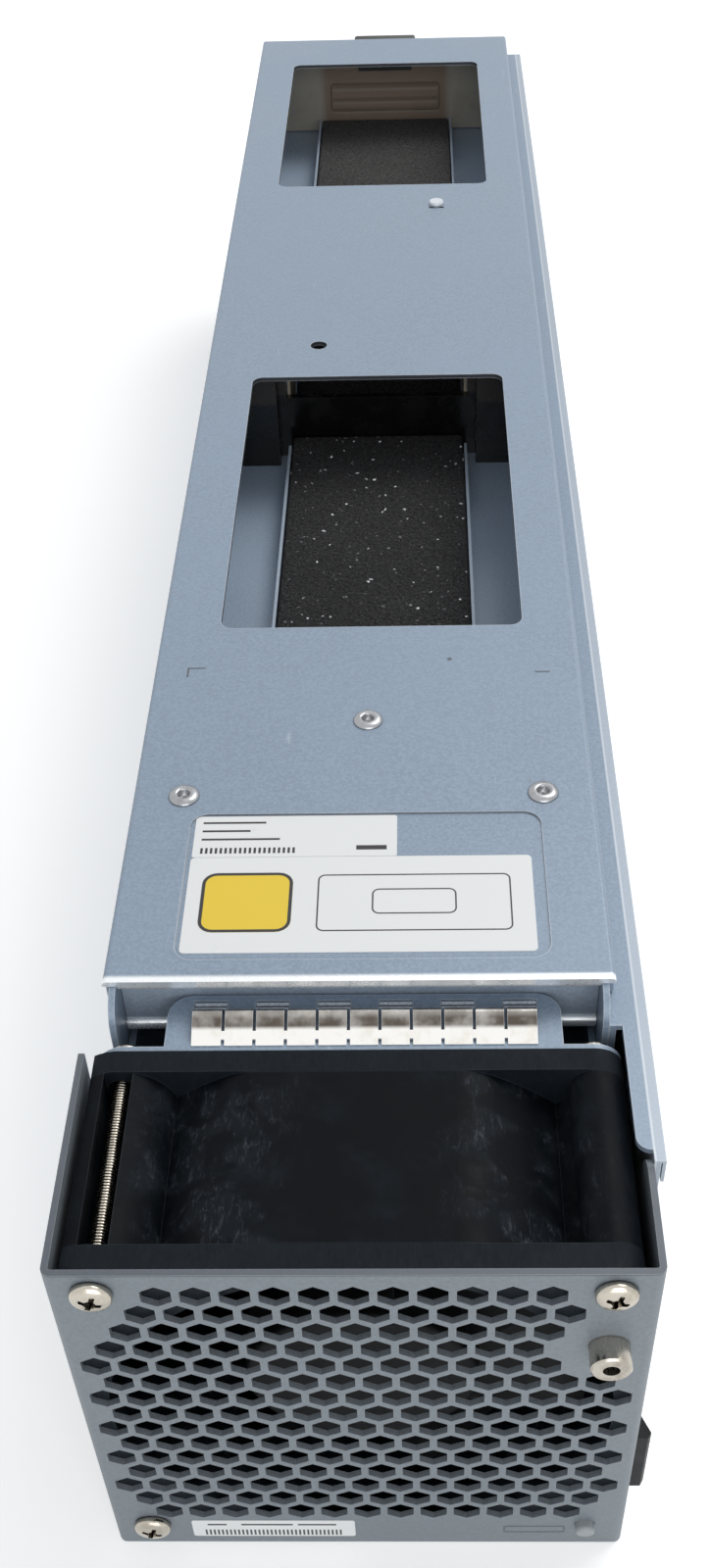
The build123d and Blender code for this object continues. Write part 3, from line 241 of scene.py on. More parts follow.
class Graph(Tree):
    """The node tree of a material, with the colour that it has so far."""

    edge_bend = (0.02, 0.3)
    hollow_sky = (0.72, 0.35)
    upright_slope = (0.5, 0.2)

    def __init__(self, name: str, base: Colour = WHITE) -> None:
        """Starts a material.

        Args:
            name: The material's name.
            base: The colour that its tints go on.
        """
        self.material = bpy.data.materials.new(name)
        self.material.use_nodes = True
        super().__init__(self.material.node_tree)
        self.tree.nodes.clear()
        self.base: object = base
        self.place = self.node("ShaderNodeTexCoord").outputs["Object"]

    def stretched(self, x: float, y: float, z: float) -> Socket:
        """Returns the object's coordinates with each axis scaled."""
        return self.node("ShaderNodeMapping", {"Vector": self.place, "Scale": (x, y, z)}).outputs["Vector"]

    def along(self, axis: str) -> Socket:
        """Returns the object's coordinate on this axis, in metres."""
        return self.node("ShaderNodeSeparateXYZ", {0: self.place}).outputs[axis]

    def away(self, axis: str, place: float) -> Socket:
        """Returns the distance from this place along an axis, in metres."""
        return self.maths("ABSOLUTE", self.maths("SUBTRACT", self.along(axis), place * MM), 0.0)

    def noise(self, size: float, detail: float = 3.0, rough: float = 0.5, twist: float = 0.0,
              vector: Socket | None = None) -> Socket:
        """Adds cloudy noise.

        Args:
            size: The size of one cloud.
            detail: How many finer layers it has.
            rough: The share of each finer layer.
            twist: How far it is distorted.
            vector: Coordinates other than the object's own.

        Returns:
            Its value, from 0 to 1.
        """
        values = {"Vector": vector or self.place, "Scale": 1 / (size * MM), "Detail": detail,
                  "Roughness": rough, "Distortion": twist}
        return self.node("ShaderNodeTexNoise", values).outputs[0]

    def cells(self, size: float) -> Socket:
        """Returns the distance to the nearest of points about this far apart."""
        values = {"Vector": self.place, "Scale": 1 / (size * MM)}
        return self.node("ShaderNodeTexVoronoi", values).outputs[0]

    def span(self, value: Socket, low: float, high: float, start: float = 0.0, end: float = 1.0) -> Socket:
        """Maps a value from low..high to start..end, smoothly and clamped.

        Args:
            value: The value to map.
            low: Where the result is start.
            high: Where the result is end.
            start: The first result.
            end: The last result.

        Returns:
            The mapped value.
        """
        values = {"Value": value, "From Min": low, "From Max": high, "To Min": start, "To Max": end}
        return self.node("ShaderNodeMapRange", values, interpolation_type="SMOOTHSTEP").outputs[0]

    def zone(self, zone: Zone) -> Socket:
        """Returns the mask of a zone."""
        place = self.along(zone.axis) if zone.middle is None else self.away(zone.axis, zone.middle)
        return self.span(place, zone.low * MM, zone.high * MM, zone.start, zone.end)

    def product(self, *shares: object) -> object:
        """Multiplies shares.

        Args:
            *shares: Masks or numbers.

        Returns:
            Their product.
        """
        whole = shares[0]
        for share in shares[1:]:
            whole = self.maths("MULTIPLY", whole, share)
        return whole

    def tint(self, tone: Colour, *shares: object) -> None:
        """Lays a tone over the colour so far, at the product of these shares."""
        values = {0: self.product(*shares), 6: self.base, 7: tone}
        self.base = self.node("ShaderNodeMix", values, data_type="RGBA").outputs[2]

    def edges(self, radius: float) -> Socket:
        """Marks sharp edges.

        Args:
            radius: How far from an edge the mask reaches.

        Returns:
            A mask that is 1 on them.
        """
        rounded = self.node("ShaderNodeBevel", {"Radius": radius * MM}, samples=4).outputs[0]
        flat = self.node("ShaderNodeNewGeometry").outputs["True Normal"]
        values = {0: rounded, 1: flat}
        dot = self.node("ShaderNodeVectorMath", values, operation="DOT_PRODUCT").outputs["Value"]
        return self.span(self.maths("SUBTRACT", 1.0, dot), *self.edge_bend)

    def hollows(self, reach: float) -> Socket:
        """Returns a mask that is 1 in hollows about this deep or deeper."""
        sky = self.node("ShaderNodeAmbientOcclusion", {"Distance": reach * MM}, samples=8).outputs["AO"]
        return self.span(sky, *self.hollow_sky)

    def upright(self) -> Socket:
        """Marks faces that stand upright.

        Returns:
            A mask that is 1 on them.
        """
        normal = self.node("ShaderNodeNewGeometry").outputs["True Normal"]
        height = self.node("ShaderNodeSeparateXYZ", {0: normal}).outputs["Z"]
        return self.span(self.maths("ABSOLUTE", height, 0.0), *self.upright_slope)

    def shade(self, rough: object, height: Socket, strength: object, depth: float,
              **sockets: object) -> Material:
        """Ends the tree in a surface shader of the colour so far.

        Args:
            rough: The roughness.
            height: The height that its normal is bumped by.
            strength: How strong the bump is.
            depth: How deep the bump is.
            **sockets: The shader's other sockets, with _ for a space.

        Returns:
            The finished material.
        """
        bump = self.node("ShaderNodeBump", {"Height": height, "Strength": strength, "Distance": depth * MM})
        values = {key.replace("_", " "): value for key, value in sockets.items()}
        values.update({"Base Color": self.base, "Roughness": rough, "Normal": bump.outputs[0]})
        surface = self.node("ShaderNodeBsdfPrincipled", values)
        self.node("ShaderNodeOutputMaterial", {"Surface": surface.outputs[0]})
        return self.material


@dataclass(frozen=True)
class CoatedSteel:
    """Pale coated sheet steel with fine mottling, faint handling marks and bright cut edges; its tints and
    its polished hem band can add painted shade and painted highlights.
    """

    name: str
    tone: Colour
    rough: float = 0.44
    metal: float = 0.15
    edge: float = 0.35
    edge_tone: Colour = BARE_EDGE_AND_HIGHLIGHT
    worn: float = 0.95
    tints: tuple[Tint, ...] = ()
    highlight_band: Zone | None = None
    relief: float = 0.12
    hem_metal: float = 0.6
    hem_polish: float = 0.7
    hem_relief: float = 0.015

    def make(self) -> Material:
        """Mixes the finish.

        Returns:
            The material.
        """
        graph = Graph(self.name, scaled(self.tone, 0.90))
        grain = graph.noise(0.55, 2.0, 0.6)
        clouds = graph.noise(34.0, 3.0, 0.55)
        rubs = graph.noise(2.4, 4.0, 0.65, 0.6, graph.stretched(1.0, 0.16, 1.0))
        graph.tint(scaled(self.tone, 1.09), graph.span(grain, 0.32, 0.68))
        graph.tint(scaled(self.tone, 1.12), graph.span(clouds, 0.3, 0.75, 0.0, 0.22))
        graph.tint(self.edge_tone, graph.span(rubs, 0.66, 0.8, 0.0, 0.22))
        for tint in self.tints:
            standing = [graph.upright()] if tint.upright else []
            graph.tint(tint.tone, *standing, *[graph.zone(zone) for zone in tint.zones])
        share = graph.span(clouds, 0.2, 0.6, 0.45 * self.worn, self.worn)
        graph.tint(self.edge_tone, graph.edges(self.edge), share)
        rough = graph.maths("ADD", graph.span(grain, 0.3, 0.7, -0.05, 0.05),
                            graph.span(clouds, 0.3, 0.7, self.rough - 0.05, self.rough + 0.05))
        metal: object = self.metal
        relief: object = self.relief
        # Painted highlight on the hem band: a near-white tint, along with real extra polish and metal.
        if self.highlight_band:
            hem_highlight = graph.zone(self.highlight_band)
            graph.tint(HEM_HIGHLIGHT_TONE, hem_highlight)
            metal = graph.span(hem_highlight, 0.0, 1.0, self.metal, self.hem_metal)
            rough = graph.product(rough, graph.span(hem_highlight, 0.0, 1.0, 1.0, self.hem_polish))
            relief = graph.span(hem_highlight, 0.0, 1.0, self.relief, self.hem_relief)
        return graph.shade(rough, grain, relief, 0.02, Metallic=metal)


@dataclass(frozen=True)
class PlatedMetal:
    """Bare or plated metal with soft brushing, tarnish, painted shade bands along a thread or across a crown,
    and painted shade with some dirt in its hollows.
    """

    name: str
    tone: Colour
    tarnish: Colour
    rough: float = 0.28
    shade_bands_in: tuple[Zone, ...] = ()
    band_shade_tone: Colour = (0.05, 0.045, 0.04)
    thread_pitch: float = 0.0
    dirt_and_shade: float = 0.0
    shade_reach: float = 1.2

    def shade_band(self, graph: Graph) -> Socket:
        """Draws the pattern of the painted shade bands, between thread turns or in noisy patches.

        Args:
            graph: The material's tree.

        Returns:
            The pattern.
        """
        if self.thread_pitch:
            turns = graph.maths("MULTIPLY", graph.along("Y"), math.tau / (self.thread_pitch * MM))
            return graph.span(graph.maths("COSINE", turns, 0.0), 0.2, -0.6)
        return graph.span(graph.noise(5.0, 3.0, 0.6), 0.3, 0.6, 0.65, 1.0)

    def make(self) -> Material:
        """Mixes the finish.

        Returns:
            The material.
        """
        graph = Graph(self.name, self.tone)
        brush = graph.noise(0.25, 2.0, 0.6, 0.0, graph.stretched(1.0, 0.1, 1.0))
        stains = graph.noise(3.5, 4.0, 0.6, 0.4)
        graph.tint(self.tarnish, graph.span(stains, 0.45, 0.75, 0.0, 0.75))
        # Painted shade bands: between thread turns, or in patches across a crown.
        if self.shade_bands_in:
            graph.tint(self.band_shade_tone, *[graph.zone(zone) for zone in self.shade_bands_in], self.shade_band(graph))
        # Painted shade, with some dirt, in hollows that ambient occlusion finds.
        if self.dirt_and_shade:
            graph.tint(DIRT_AND_SHADE_TONE, graph.hollows(self.shade_reach), self.dirt_and_shade)
        graph.tint(scaled(self.tone, 1.15), graph.edges(0.12))
        rough = graph.span(brush, 0.3, 0.7, self.rough - 0.07, self.rough + 0.09)
        return graph.shade(rough, brush, 0.15, 0.01, Metallic=1.0)


@dataclass(frozen=True)
class MouldedPlastic:
    """Matte moulded plastic with hazy scuffs, dust and slightly polished edges."""

    name: str
    tone: Colour
    scuff: Colour
    rough: float = 0.5
    scuff_share: float = 0.55
    edge_tone: Colour = (0.09, 0.095, 0.105)
    edge_share: float = 0.7
    sheen: float = 0.5

    def make(self) -> Material:
        """Mixes the finish.

        Returns:
            The material.
        """
        graph = Graph(self.name, self.tone)
        grain = graph.noise(0.35, 2.0, 0.6)
        haze = graph.noise(11.0, 5.0, 0.62, 1.1)
        streaks = graph.noise(1.1, 5.0, 0.7, 0.8, graph.stretched(1.0, 0.35, 0.6))
        patches = graph.noise(19.0, 2.0, 0.5)
        graph.tint(self.scuff, graph.span(haze, 0.42, 0.74, 0.0, 0.22))
        rubbed = graph.span(streaks, 0.48, 0.72), graph.span(patches, 0.46, 0.66)
        graph.tint(self.scuff, *rubbed, self.scuff_share)
        graph.tint(self.edge_tone, graph.edges(0.3), self.edge_share)
        rough = graph.span(haze, 0.35, 0.7, self.rough - 0.08, self.rough + 0.14)
        return graph.shade(rough, grain, 0.22, 0.03, Specular_IOR_Level=self.sheen)


@dataclass(frozen=True)
class RubbedHousing:
    """Deep black moulding of the fan frame: rubbed flanges, and pale scuffs left and right of its crown."""

    name: str = "fan_plastic"
    tone: Colour = (0.0030, 0.0042, 0.0060)
    flange_tone: Colour = (0.0135, 0.018, 0.023)
    edge_tone: Colour = (0.07, 0.08, 0.095)
    scuff: Colour = (0.085, 0.10, 0.12)
    middle: float = -208.0
    flange_from: float = 14.8
    scuffs_at: tuple[float, float] = (-21.0, 24.0)
    scuff_reach: float = 15.0
    sheen: float = 0.06

    def make(self) -> Material:
        """Mixes the finish.

        Returns:
            The material.
        """
        graph = Graph(self.name, self.tone)
        grain = graph.noise(0.35, 2.0, 0.6)
        haze = graph.noise(9.0, 5.0, 0.62, 0.3)
        hairs = graph.noise(0.7, 6.0, 0.75, 0.9, graph.stretched(1.0, 0.3, 0.6))
        blots = graph.noise(7.0, 3.0, 0.6, 0.8)
        graph.tint(self.scuff, graph.span(haze, 0.45, 0.8, 0.0, 0.1))
        for place in self.scuffs_at:
            near = graph.zone(Zone("X", self.scuff_reach, 0.2 * self.scuff_reach, middle=place))
            share = graph.span(hairs, 0.5, 0.7, 0.08, 0.75)
            graph.tint(self.scuff, near, graph.span(blots, 0.42, 0.64), share)
        flange = Zone("Y", self.flange_from - 0.1, self.flange_from + 0.1, middle=self.middle)
        graph.tint(self.flange_tone, graph.zone(flange), graph.span(hairs, 0.3, 0.7, 0.5, 1.0))
        graph.tint(self.edge_tone, graph.edges(0.25), 0.5)
        rough = graph.span(haze, 0.35, 0.7, 0.42, 0.62)
        return graph.shade(rough, grain, 0.2, 0.03, Specular_IOR_Level=self.sheen)


@dataclass(frozen=True)
class BaffleSheet:
    """Glossy black sheet, brownish where the light reaches it above its recess."""

    name: str = "gloss_black"
    tone: Colour = (0.0035, 0.0033, 0.003)
    warm: Colour = (0.034, 0.026, 0.019)
    edge_tone: Colour = (0.08, 0.07, 0.06)
    lit_above: Zone = Zone("Z", 75.9, 77.1)

    def make(self) -> Material:
        """Mixes the finish.

        Returns:
            The material.
        """
        graph = Graph(self.name, self.tone)
        smears = graph.noise(6.0, 4.0, 0.6, 0.5)
        graph.tint(self.warm, graph.zone(self.lit_above), graph.span(smears, 0.3, 0.7, 0.6, 1.0))
        graph.tint(self.edge_tone, graph.edges(0.3), 0.4)
        return graph.shade(graph.span(smears, 0.35, 0.7, 0.16, 0.34), smears, 0.05, 0.02)


@dataclass(frozen=True)
class LinerSheet:
    """Brown insulating sheet: paler past its pad, with soft pressed lines across it, drawn as painted shade
    lines with a painted highlight below each.
    """

    name: str = "brown_sheet"
    tone: Colour = (0.27, 0.20, 0.15)
    pale: Colour = (0.40, 0.37, 0.31)
    pad_half: float = 18.0
    lines_at: tuple[float, ...] = (74.6, 70.4, 67.2)
    lit_below: float = 1.2

    def make(self) -> Material:
        """Mixes the finish.

        Returns:
            The material.
        """
        graph = Graph(self.name, self.tone)
        fibre = graph.noise(0.8, 3.0, 0.6, 0.0, graph.stretched(0.3, 1.0, 1.0))
        clouds = graph.noise(8.0, 3.0, 0.6)
        graph.tint(self.pale, graph.zone(Zone("X", self.pad_half + 0.5, self.pad_half + 4.0, middle=0.0)))
        inside = graph.zone(Zone("X", self.pad_half, self.pad_half - 1.5, middle=0.0))
        # Each pressed line is a painted shade line with a painted highlight just below it.
        for height in self.lines_at:
            graph.tint(scaled(self.tone, 0.45), inside, graph.zone(Zone("Z", 0.9, 0.2, 0.0, 0.5, height)))
            lit = Zone("Z", 0.7, 0.1, 0.0, 0.35, height - self.lit_below)
            graph.tint(self.pale, inside, graph.zone(lit))
        graph.tint(scaled(self.tone, 0.7), graph.span(clouds, 0.4, 0.75, 0.0, 0.25))
        return graph.shade(graph.span(clouds, 0.3, 0.7, 0.42, 0.6), fibre, 0.3, 0.03)


@dataclass(frozen=True)
class Crumb:
    """Bits caught in the foam, most of them dull; the near-white tone of a few is a painted glint."""

    name: str
    dull: Colour = (0.10, 0.10, 0.105)
    bright: Colour = (0.90, 0.91, 0.93)

    def make(self) -> Material:
        """Mixes the finish.

        Returns:
            The material.
        """
        graph = Graph(self.name, self.dull)
        share = graph.noise(3.0, 1.0, 0.5)
        # Painted glint: a few crumbs are near white.
        graph.tint(self.bright, graph.span(share, 0.50, 0.64))
        return graph.shade(graph.span(share, 0.4, 0.6, 0.5, 0.25), share, 0.0, 0.0)


@dataclass(frozen=True)
class OpenCellFoam:
    """Charcoal open-cell foam with a pitted surface."""

    name: str
    tone: Colour
    light: Colour

    def make(self) -> Material:
        """Mixes the finish.

        Returns:
            The material.
        """
        graph = Graph(self.name, scaled(self.tone, 0.45))
        pores = graph.cells(1.1)
        fine = graph.noise(0.5, 3.0, 0.7)
        clouds = graph.noise(16.0, 3.0, 0.55)
        graph.tint(self.tone, graph.span(pores, 0.15, 0.55))
        graph.tint(self.light, graph.span(fine, 0.5, 0.72, 0.0, 0.8))
        graph.tint(scaled(self.tone, 0.6), graph.span(clouds, 0.35, 0.7, 0.0, 0.25))
        return graph.shade(0.93, graph.maths("ADD", pores, fine), 0.75, 0.5, Specular_IOR_Level=0.25)


@dataclass(frozen=True)
class PrintedStock:
    """Label stock or ink: smooth, slightly uneven, with handling dirt."""

    name: str
    tone: Colour
    dirt_and_shade: Colour
    rough: float = 0.42

    def make(self) -> Material:
        """Mixes the finish.

        Returns:
            The material.
        """
        graph = Graph(self.name, self.tone)
        fibre = graph.noise(0.4, 2.0, 0.5)
        marks = graph.noise(7.0, 4.0, 0.65, 0.5)
        graph.tint(self.dirt_and_shade, graph.span(marks, 0.62, 0.85, 0.0, 0.4))
        rough = graph.span(marks, 0.3, 0.7, self.rough - 0.06, self.rough + 0.08)
        return graph.shade(rough, fibre, 0.06, 0.01)


@dataclass(frozen=True)
class ClearPlastic:
    """Clear moulded plastic of a light pipe."""

    name: str
    tone: Colour
    clear: float = 0.55
    index: float = 1.49

    def make(self) -> Material:
        """Mixes the finish.

        Returns:
            The material.
        """
        graph = Graph(self.name, self.tone)
        waves = graph.noise(1.2, 2.0, 0.5)
        return graph.shade(graph.span(waves, 0.3, 0.7, 0.10, 0.22), waves, 0.1, 0.02,
                           Transmission_Weight=self.clear, IOR=self.index)


class Palette:
    """Makes each finish once and hands it out."""

    recipes = {
        Finish.COVER_STEEL: CoatedSteel("cover_steel", DUCT_TONE, highlight_band=COVER_HEM_HIGHLIGHT, tints=(
            Tint(CUT_SHADE_TONE, WINDOW_CUT_SHADE, upright=True), Tint(BARE_EDGE_AND_HIGHLIGHT, PIP_HIGHLIGHT))),
        Finish.PLAIN_STEEL: CoatedSteel("plain_steel", DUCT_TONE),
        Finish.CHANNEL_STEEL: CoatedSteel("channel_steel", DUCT_TONE, tints=(
            Tint(BARE_EDGE_AND_HIGHLIGHT, CHANNEL_SIDE_HIGHLIGHT), Tint(BARE_EDGE_AND_HIGHLIGHT, CHANNEL_FOLD_HIGHLIGHT))),
        Finish.ROLLED_STEEL: CoatedSteel("rolled_steel", (0.36, 0.43, 0.52), highlight_band=MEMBER_ROLL_HIGHLIGHT),
        Finish.BEZEL_STEEL: CoatedSteel(
            "bezel_steel", (0.205, 0.235, 0.262), rough=0.5, metal=0.2, edge=0.14,
            edge_tone=(0.55, 0.58, 0.61), worn=0.8, tints=(Tint((0.075, 0.085, 0.105), BEZEL_RIM_DARK_REFLECTION),)),
        Finish.INNER_STEEL: CoatedSteel("inner_steel", INNER_TONE, rough=0.36),
        Finish.TRAY_STEEL: CoatedSteel("tray_steel", INNER_TONE, rough=0.36,
                                       tints=(Tint(TAN_TONE, TRAY_UPRIGHTS),)),
        # Painted highlight: a pale, almost non-metal tone for the strip's tabs, which sit in shade.
        Finish.TAB_HIGHLIGHT: CoatedSteel("tab_highlight", (0.78, 0.82, 0.88), rough=0.3, metal=0.1),
        Finish.BRIGHT_STEEL: PlatedMetal("bright_steel", (0.62, 0.63, 0.64), (0.42, 0.42, 0.42)),
        Finish.NICKEL: PlatedMetal("nickel", (0.50, 0.465, 0.41), (0.27, 0.24, 0.20), rough=0.26, dirt_and_shade=0.85),
        Finish.THREAD: PlatedMetal("screw_metal", (0.55, 0.51, 0.44), (0.26, 0.23, 0.185), rough=0.22,
                                   dirt_and_shade=0.9, shade_bands_in=SCREW_SHANK_SHADE, thread_pitch=0.5),
        Finish.RIVET_STEEL: PlatedMetal("rivet_steel", (0.38, 0.39, 0.405), (0.22, 0.225, 0.235), rough=0.3,
                                        dirt_and_shade=1.0),
        Finish.CONTACT_STRIP: PlatedMetal(
            "contact_strip_metal", (0.94, 0.93, 0.90), (0.82, 0.77, 0.70), rough=0.16,
            shade_bands_in=STRIP_CROWN_SHADE, band_shade_tone=(0.115, 0.097, 0.082)),
        Finish.FAN_PLASTIC: RubbedHousing(),
        Finish.LATCH_PLASTIC: MouldedPlastic("latch_plastic", (0.007, 0.0085, 0.0105), (0.04, 0.045, 0.05),
                                             edge_share=0.4, sheen=0.2),
        Finish.ROTOR_PLASTIC: MouldedPlastic("rotor_plastic", (0.009, 0.0095, 0.0105), (0.03, 0.03, 0.032),
                                             rough=0.45, edge_share=0.3, sheen=0.2),
        Finish.CONNECTOR_PLASTIC: MouldedPlastic("connector_plastic", (0.02, 0.02, 0.02), (0.07, 0.07, 0.07)),
        Finish.GLOSS_BLACK: BaffleSheet(),
        Finish.BROWN_SHEET: LinerSheet(),
        Finish.FOAM: OpenCellFoam("foam", (0.028, 0.028, 0.029), (0.12, 0.12, 0.12)),
        Finish.FOAM_WORN: OpenCellFoam("foam_worn", (0.062, 0.060, 0.059), (0.20, 0.19, 0.185)),
        Finish.FOAM_SPECK: Crumb("foam_speck"),
        Finish.LABEL_WHITE: PrintedStock("label_white", (0.86, 0.87, 0.87), (0.62, 0.64, 0.66)),
        Finish.LABEL_YELLOW: PrintedStock("label_yellow", (0.86, 0.62, 0.05), (0.6, 0.45, 0.1)),
        Finish.PRINT_BLACK: PrintedStock("print_black", (0.02, 0.02, 0.022), (0.08, 0.08, 0.08)),
        Finish.SCRIBE: PrintedStock("scribe", (0.12, 0.14, 0.16), (0.22, 0.25, 0.28), rough=0.6),
        Finish.LENS: ClearPlastic("lens", (0.62, 0.66, 0.68)),
        Finish.BOARD: MouldedPlastic("board", (0.012, 0.10, 0.045), (0.05, 0.16, 0.09), rough=0.3),
        Finish.COPPER: PlatedMetal("copper", (0.72, 0.33, 0.17), (0.4, 0.17, 0.08)),
        Finish.FERRITE: MouldedPlastic("ferrite", (0.03, 0.03, 0.033), (0.06, 0.06, 0.06)),
        Finish.GOLD: PlatedMetal("gold", (0.90, 0.68, 0.30), (0.7, 0.5, 0.2)),
    }

    def __init__(self) -> None:
        """Starts with nothing made."""
        self.made: dict[Finish, Material] = {}

    def get(self, finish: Finish) -> Material:
        """Hands out a finish.

        Args:
            finish: Which one.

        Returns:
            Its material, made on first use.
        """
        if finish not in self.made:
            self.made[finish] = self.recipes[finish].make()
        return self.made[finish]


class Pieces:
    """Joins finished pieces to the frame."""

    @staticmethod
    def link(name: str, data: object) -> Object:
        """Makes an object of the scene.

        Args:
            name: Its name.
            data: Its mesh, lamp or camera data.

        Returns:
            The object.
        """
        made = bpy.data.objects.new(name, data)
        bpy.context.scene.collection.objects.link(made)
        return made

    @staticmethod
    def bake(made: Object) -> Object:
        """Applies every modifier of an object.

        Args:
            made: The object.

        Returns:
            The same object with a plain mesh.
        """
        bpy.context.view_layer.update()
        graph = bpy.context.evaluated_depsgraph_get()
        mesh = bpy.data.meshes.new_from_object(made.evaluated_get(graph))
        made.modifiers.clear()
        made.data = mesh
        return made

    @staticmethod
    def seat(made: Object, slot: str, material: Material | None = None,
             replaces: tuple[str, ...] = ()) -> None:
        """Gives a piece its finish and lets it ride on the module.

        Args:
            made: The piece.
            slot: Not used.
            material: Its material, if its mesh has none yet.
            replaces: CAD nodes that it stands for.
        """
        if material is not None:
            made.data.materials.clear()
            made.data.materials.append(material)
        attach(made, FIXED_BODY)
        if replaces:
            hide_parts(*replaces)
        LOG.info("%s: %d faces on %s", made.name, len(made.data.polygons), FIXED_BODY)

    @staticmethod
    def points(name: str, places: list[Point]) -> Object:
        """Makes an object that carries points.

        Args:
            name: Its name.
            places: The points.

        Returns:
            The object.
        """
        mesh = bpy.data.meshes.new(name)
        mesh.from_pydata([tuple(part * MM for part in place) for place in places], [], [])
        return Pieces.link(name, mesh)

    @staticmethod
    def discard(made: Object) -> None:
        """Removes a helper object."""
        bpy.data.objects.remove(made, do_unlink=True)


class Shapes:
    """Makes meshes from profiles and outlines, in millimetres."""

    @staticmethod
    def finish(work: Mesh, name: str, smooth: bool = False) -> Object:
        """Ends a mesh as an object in metres at the origin.

        Args:
            work: The mesh so far, in millimetres.
            name: The object's name.
            smooth: Whether its faces are shaded smooth.

        Returns:
            The linked object.
        """
        bmesh.ops.remove_doubles(work, verts=work.verts, dist=WELD)
        bmesh.ops.recalc_face_normals(work, faces=work.faces)
        bmesh.ops.scale(work, vec=(MM, MM, MM), verts=work.verts)
        mesh = bpy.data.meshes.new(name)
        work.to_mesh(mesh)
        work.free()
        mesh.polygons.foreach_set("use_smooth", [smooth] * len(mesh.polygons))
        return Pieces.link(name, mesh)

    @staticmethod
    def revolve(work: Mesh, profile: Pairs, segments: int) -> None:
        """Adds a solid of revolution about Z.

        Args:
            work: The mesh to add to.
            profile: Radius and height pairs, from the bottom to the top.
            segments: How many faces go round.
        """
        turns = [math.tau * step / segments for step in range(segments)]
        rings = [[work.verts.new((radius * math.cos(turn), radius * math.sin(turn), height))
                  for turn in (turns if radius else turns[:1])] for radius, height in profile]
        for low, high in zip(rings, rings[1:]):
            for step in range(segments):
                corners = [low[step % len(low)], low[(step + 1) % len(low)],
                           high[(step + 1) % len(high)], high[step % len(high)]]
                work.faces.new(list(dict.fromkeys(corners)))

    @staticmethod
    def outline(width: float, height: float, radius: float, steps: int = 5) -> Pairs:
        """Draws a rounded rectangle about the origin.

        Args:
            width: Its width.
            height: Its height.
            radius: The radius of its corners.
            steps: How many edges round a corner has.

        Returns:
            Its corners.
        """
        points = []
        for side_x, side_y, start in ((1, 1, 0), (-1, 1, 90), (-1, -1, 180), (1, -1, 270)):
            for step in range(steps + 1):
                turn = math.radians(start + 90 * step / steps)
                points.append((side_x * (width / 2 - radius) + radius * math.cos(turn),
                               side_y * (height / 2 - radius) + radius * math.sin(turn)))
        return points

    @staticmethod
    def plate(work: Mesh, outline: Pairs, thick: float, place: Matrix) -> None:
        """Adds a flat plate.

        Args:
            work: The mesh to add to.
            outline: Its corners, round its edge.
            thick: Its thickness, upwards from z = 0.
            place: Where it goes.
        """
        low, high = ([work.verts.new(place @ Vector((x, y, z))) for x, y in outline] for z in (0, thick))
        work.faces.new(low)
        work.faces.new(high)
        for step in range(len(outline)):
            follow = (step + 1) % len(outline)
            work.faces.new((low[step], low[follow], high[follow], high[step]))

    @staticmethod
    def frame(work: Mesh, size: tuple[float, float], radius: float, line: float, thick: float,
              place: Matrix) -> None:
        """Adds the outline of a rounded rectangle as a thin closed band.

        Args:
            work: The mesh to add to.
            size: Its outer width and height.
            radius: Its outer corner radius.
            line: The band's width.
            thick: The band's thickness.
            place: Where it goes.
        """
        width, height = size
        outer = Shapes.outline(width, height, radius)
        inner = Shapes.outline(width - 2 * line, height - 2 * line, max(radius - line, LEAST_RADIUS))
        loops = [[work.verts.new(place @ Vector((x, y, z))) for x, y in edge]
                 for edge, z in ((outer, 0), (outer, thick), (inner, thick), (inner, 0))]
        count = len(outer)
        for first, second in zip(loops, loops[1:] + loops[:1]):
            for step in range(count):
                follow = (step + 1) % count
                work.faces.new((first[step], first[follow], second[follow], second[step]))

    @staticmethod
    def slab(work: Mesh, size: Point, centre: Point) -> None:
        """Adds a block.

        Args:
            work: The mesh to add to.
            size: Its size along each axis.
            centre: Its middle.
        """
        half_x, half_y = size[0] / 2, size[1] / 2
        corners = [(half_x, half_y), (-half_x, half_y), (-half_x, -half_y), (half_x, -half_y)]
        place = Matrix.Translation((centre[0], centre[1], centre[2] - size[2] / 2))
        Shapes.plate(work, corners, size[2], place)


